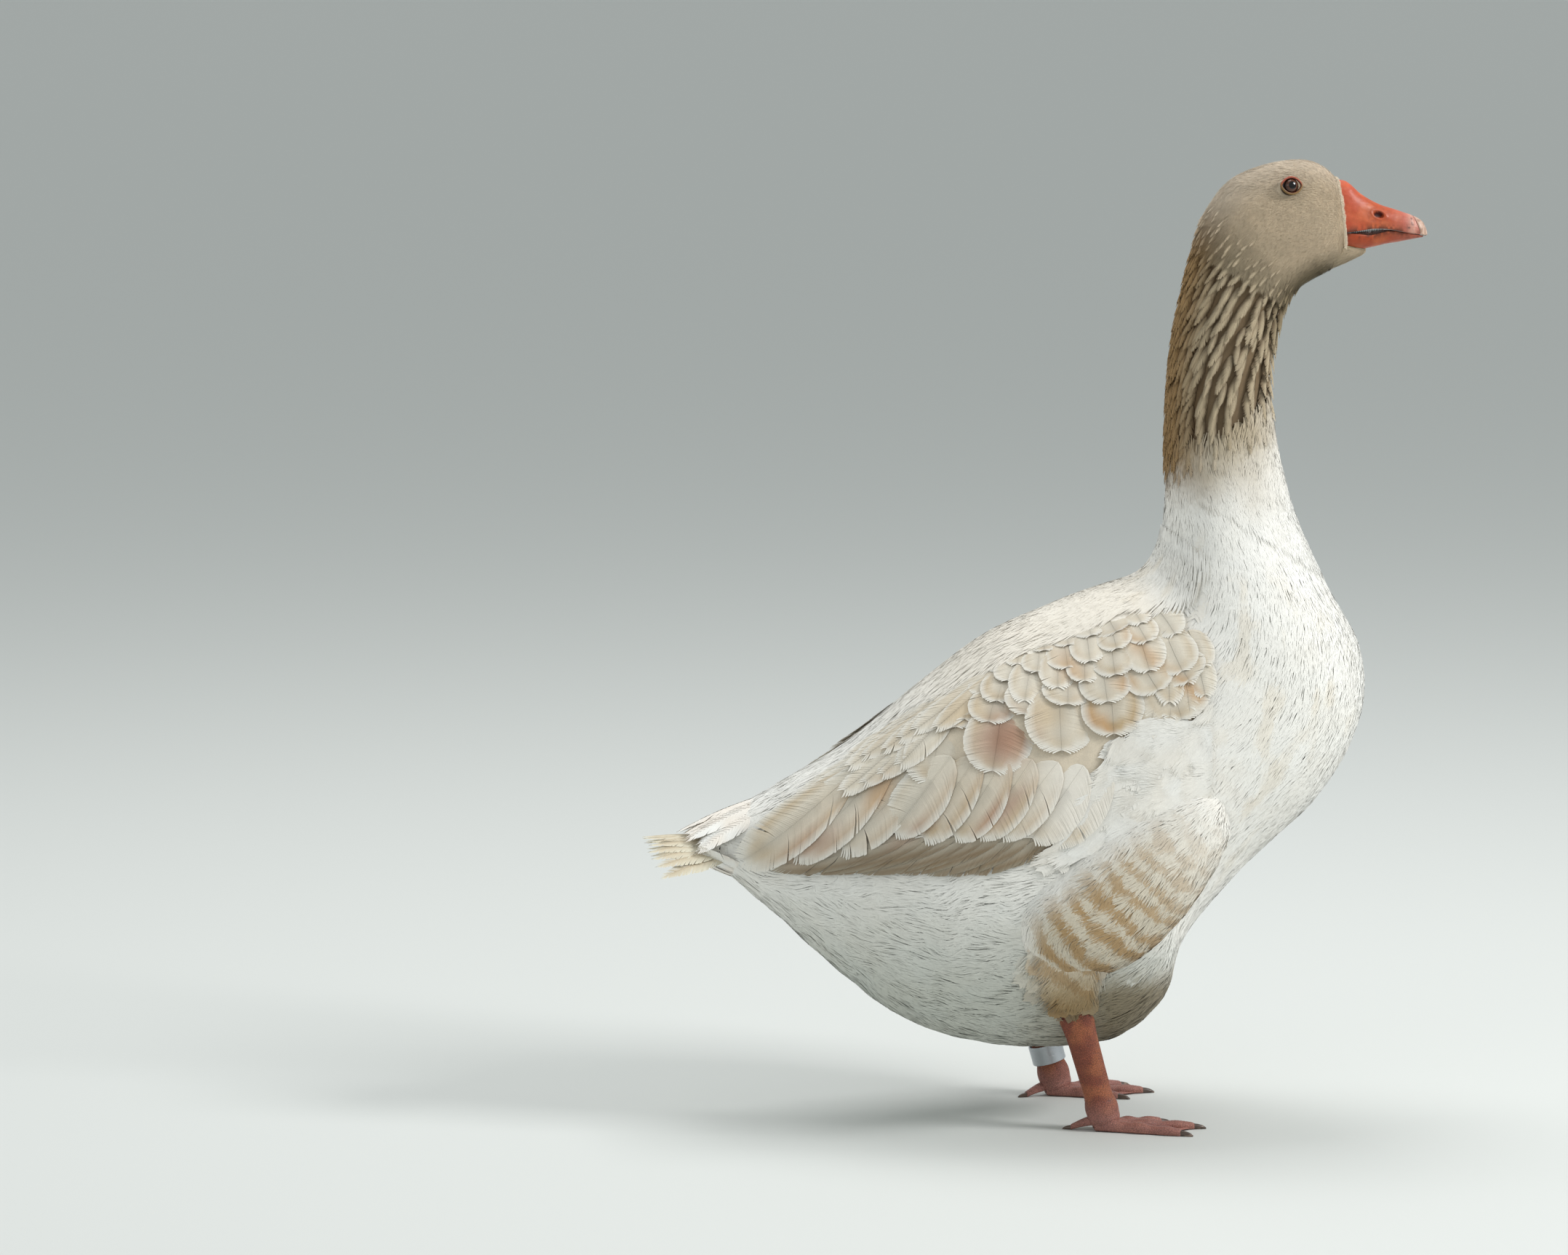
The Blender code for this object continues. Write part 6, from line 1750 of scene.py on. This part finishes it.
def leg_tint(points):
    patch = cloudiness(points, 0.008, 81)
    tint = blend(linear("#8A4833"), linear("#A6603F"), smooth_step(0.3, 0.8, patch))
    # Painted shade: the upper leg, under the body and the thigh lobe, is darkened.
    tint = blend(tint, linear("#613529"), 0.7 * smooth_step(0.080, 0.115, points[:, 2]))
    return blend(tint, linear("#AE7A70"), 0.75 * smooth_step(0.030, 0.008, points[:, 2]))


for label, side, back in SIDES:
    joint, ankle, down = leg_points(back)
    share = np.linspace(-0.10, 1.0, 120)
    held = np.clip(share, 0, 1)
    fore = along_curve([(a, b) for a, b, _ in LEG_SIZES], held)
    across = along_curve([(a, c) for a, _, c in LEG_SIZES], held)
    folds = 0.00025 * np.sin(share * 260) * (bell(share, 0.95, 0.06) + bell(share, 0.06, 0.08))
    middle = ankle + (joint - ankle) * share[:, None]
    rings = oval_rings(middle, down, fore + folds, across + folds) * [1, side, 1]
    points, faces, uv = closed_tube(rings)
    add_piece(f"leg_skin_{label}", points, faces, (scaly_skin, "leg_skin"), leg_tint(points), uv,
              (f"leg_{label}",))

# %% Feet and claws


def toe_sizes(share, rows, column):
    return along_curve([(row[0], row[column]) for row in rows], share)


def web_rings(heel, first, second, edge):
    """A web between two toes: across it p goes from toe to toe, and the edge hangs back by a scallop.

    The skin is highest at the toes, sags between them and has wrinkles that fan out from the heel.
    """
    q, p = grid_of(np.linspace(0.16, 1.0, 36), np.linspace(0, 1, 34))
    heading = first[1] + (second[1] - first[1]) * p
    reach = (first[0] + (second[0] - first[0]) * p) * q * (1 - edge * (4 * p * (1 - p)) ** 0.8 * q)
    flat = np.stack([np.cos(heading), np.sin(heading)], -1) * reach[..., None]
    middle = 4 * p * (1 - p)
    wrinkle = 0.00030 * np.sin(p * 31 + 2 * np.sin(q * 5)) + 0.00018 * np.sin(q * 46 + p * 4)
    wrinkle = wrinkle * middle
    height = 0.0046 * (1 - middle) * (1 - 0.55 * q) + 0.0022 * middle + wrinkle
    top = np.concatenate([flat, height[..., None]], -1)
    low = np.concatenate([flat, np.maximum(height - 0.0012, 0.0005)[..., None]], -1)
    return heel + np.concatenate([top, low[:, ::-1]], 1)


CLAW_SIZES = ((0.0, 0.0030, 0.0044), (0.45, 0.0025, 0.0036), (0.80, 0.0018, 0.0024), (1.0, 0.0010, 0.0011))
for label, side, back in SIDES:
    joint, ankle, down = leg_points(back)
    heel = np.array([joint[0] - HEEL_BACK, LEG_SPREAD, 0.0])
    flip = [1, side, 1]
    share = np.linspace(0, 1, 90)
    parts = []
    for toe, length, heading in TOES:
        plates = 0.00022 * np.abs(np.sin(share * length / 0.0024 * math.pi)) * smooth_step(0.12, 0.3, share)
        end = np.sqrt(np.clip(1 - np.clip((share - 0.965) / 0.038, 0, 1) ** 2, 0, 1))
        width = toe_sizes(share, TOE_SIZES, 1) * (0.55 + 0.45 * end)
        high = (toe_sizes(share, TOE_SIZES, 2) + plates) * (0.55 + 0.45 * end)
        parts.append(closed_tube(toe_rings(heel, heading, share * length, width, high) * flip))
        along = np.linspace(0, 1, 20)
        claw = closed_tube(toe_rings(heel, heading, length - 0.0008 + along * 0.0095,
                                     toe_sizes(along, CLAW_SIZES, 1), toe_sizes(along, CLAW_SIZES, 2)) * flip)
        pale = smooth_step(0.5, 0.9, cloudiness(claw[0], 0.003, 91))
        tint = blend(linear("#4E3D33"), linear("#8A7361"), pale)
        add_piece(f"claw_horn_{toe}_{label}", claw[0], claw[1], claw_horn, tint, claw[2],
                  (f"claw_{toe}_{label}",))
    reach = {toe: (length, heading) for toe, length, heading in TOES}
    parts.append(closed_tube(web_rings(heel, reach["inner"], reach["middle"], 0.16) * flip))
    parts.append(closed_tube(web_rings(heel, reach["middle"], reach["outer"], 0.16) * flip))
    drop = np.linspace(-0.004, 0.0165, 40)
    knob = along_curve(
        [(-0.004, 0.0118), (0.0, 0.0127), (0.008, 0.0124), (0.0145, 0.0108), (0.0165, 0.0085)], drop,
    )
    thick = along_curve(
        [(-0.004, 0.0090), (0.0, 0.0099), (0.008, 0.0103), (0.0145, 0.0094), (0.0165, 0.0075)], drop,
    )
    parts.append(closed_tube(oval_rings(joint + down * drop[:, None], down, knob, thick) * flip))
    share = np.linspace(0, 1, 40)
    hind = toe_rings(heel, HIND_HEADING, share * HIND_LENGTH, toe_sizes(share, HIND_SIZES, 1),
                     toe_sizes(share, HIND_SIZES, 2), toe_sizes(share, HIND_SIZES, 3))
    parts.append(closed_tube(hind * flip))
    points, faces, uv, tint = join([(*part, (1.0, 1.0, 1.0)) for part in parts])
    add_piece(f"foot_skin_{label}", points, faces, (scaly_skin, "foot_skin"), leg_tint(points), uv,
              (f"foot_{label}",))
    along = np.linspace(0, 1, 20)
    width, high = toe_sizes(along, CLAW_SIZES, 1) * 0.76, toe_sizes(along, CLAW_SIZES, 2) * 0.8
    claw = toe_rings(heel, HIND_HEADING, HIND_LENGTH - 0.0006 + along * 0.0074, width, high)
    claw = closed_tube(claw * flip)
    add_piece(f"claw_horn_hind_{label}", claw[0], claw[1], claw_horn, linear("#5E4B3F"), claw[2],
              (f"claw_hind_{label}",))

# %% [markdown]
# ## Leg ring
# The left leg wears a plain closed band of aluminium, 27 mm across. It was turned and then worn dull, so it
# has fine scratches round it and rounded edges.

# %% Ring
RING_INNER, RING_OUTER, RING_HEIGHT, RING_UP = 0.0122, 0.0134, 0.0150, 0.0150
worn_aluminium, tree, shader = new_material("worn_turned_aluminium", 0.38, metallic=1.0)
where = add_node(tree, "ShaderNodeTexCoord").outputs["Object"]
stretch = add_node(tree, "ShaderNodeMapping", links={"Vector": where})
stretch.inputs["Scale"].default_value = (1.0, 1.0, 14.0)
scratches = add_node(tree, "ShaderNodeTexNoise", links={"Vector": stretch.outputs["Vector"]},
                     Scale=180.0, Detail=4.0)
dullness = add_node(tree, "ShaderNodeMapRange", links={"Value": scratches.outputs["Fac"]},
                    From_Min=0.3, From_Max=0.7, To_Min=0.26, To_Max=0.52)
tree.links.new(dullness.outputs["Result"], shader.inputs["Roughness"])
shader.inputs["Base Color"].default_value = (*linear("#B8BCC0"), 1.0)
joint, ankle, down = leg_points(LEFT_LEG_BACK)
front = np.cross([0.0, 1.0, 0.0], down)
centre = joint - down * RING_UP + front * 0.0004
around, section = grid_of(turns(120), turns(28))
c, sn = np.cos(section), np.sin(section)
radius = (RING_INNER + RING_OUTER) / 2 + (RING_OUTER - RING_INNER) / 2 * np.sign(c) * np.abs(c) ** 0.3
height = RING_HEIGHT / 2 * np.sign(sn) * np.abs(sn) ** 0.12
outward = np.cos(around)[..., None] * front + np.sin(around)[..., None] * [0.0, 1.0, 0.0]
points = (centre + radius[..., None] * outward + height[..., None] * down).reshape(-1, 3)
core = (centre + (RING_INNER + RING_OUTER) / 2 * outward + 0.9 * height[..., None] * down).reshape(-1, 3)
faces = facing(points, grid_faces(120, 28, True, True), points - core)
add_piece("leg_band", points, faces, (worn_aluminium, "ring_metal"), linear("#B8BCC0"),
          grid_uv(120, 28, True, True), ("leg_ring",))

# %% [markdown]
# ## Stage
# A pale painted floor that runs to the horizon, a soft sky light all round and three large lamps: the key
# high on the right, where the bird looks to, a weak fill from the left and one overhead that edges the back.

# %% Stage and light
FLOOR_REACH = 90
floor_mesh = bpy.data.meshes.new("floor")
corners = [(x * FLOOR_REACH, y * FLOOR_REACH, 0) for x, y in ((-1, -1), (1, -1), (1, 1), (-1, 1))]
floor_mesh.from_pydata(corners, [], [(0, 1, 2, 3)])
floor = bpy.data.objects.new("floor", floor_mesh)
bpy.context.scene.collection.objects.link(floor)
floor_paint, _, floor_shader = new_material("pale_painted_floor", 0.7)
floor_shader.inputs["Base Color"].default_value = (*linear("#D2D4D1"), 1.0)
floor_mesh.materials.append(floor_paint)
world = bpy.data.worlds.new("studio")
world.use_nodes = True
world.node_tree.nodes["Background"].inputs["Color"].default_value = (*linear("#E0E6E6"), 1.0)
world.node_tree.nodes["Background"].inputs["Strength"].default_value = 0.70
bpy.context.scene.world = world


def add_lamp(name, place, aim, size, power):
    """A soft square lamp at a place, turned to shine at a point."""
    light = bpy.data.lights.new(name, "AREA")
    light.size = size
    light.energy = power
    lamp = bpy.data.objects.new(name, light)
    lamp.location = place
    direction = np.array(aim) - np.array(place)
    lamp.rotation_euler = (math.acos(-direction[2] / np.linalg.norm(direction)), 0.0,
                           math.atan2(direction[1], direction[0]) - math.pi / 2)
    bpy.context.scene.collection.objects.link(lamp)


add_lamp("key", (2.9, -1.4, 2.6), (0.0, 0.0, 0.35), 1.2, 104)
add_lamp("fill", (-2.6, -2.6, 1.8), (0.0, 0.0, 0.3), 2.0, 10)
add_lamp("overhead", (-0.3, 0.9, 3.2), (0.0, 0.0, 0.4), 1.8, 46)
bpy.context.scene.view_settings.view_transform = "Standard"
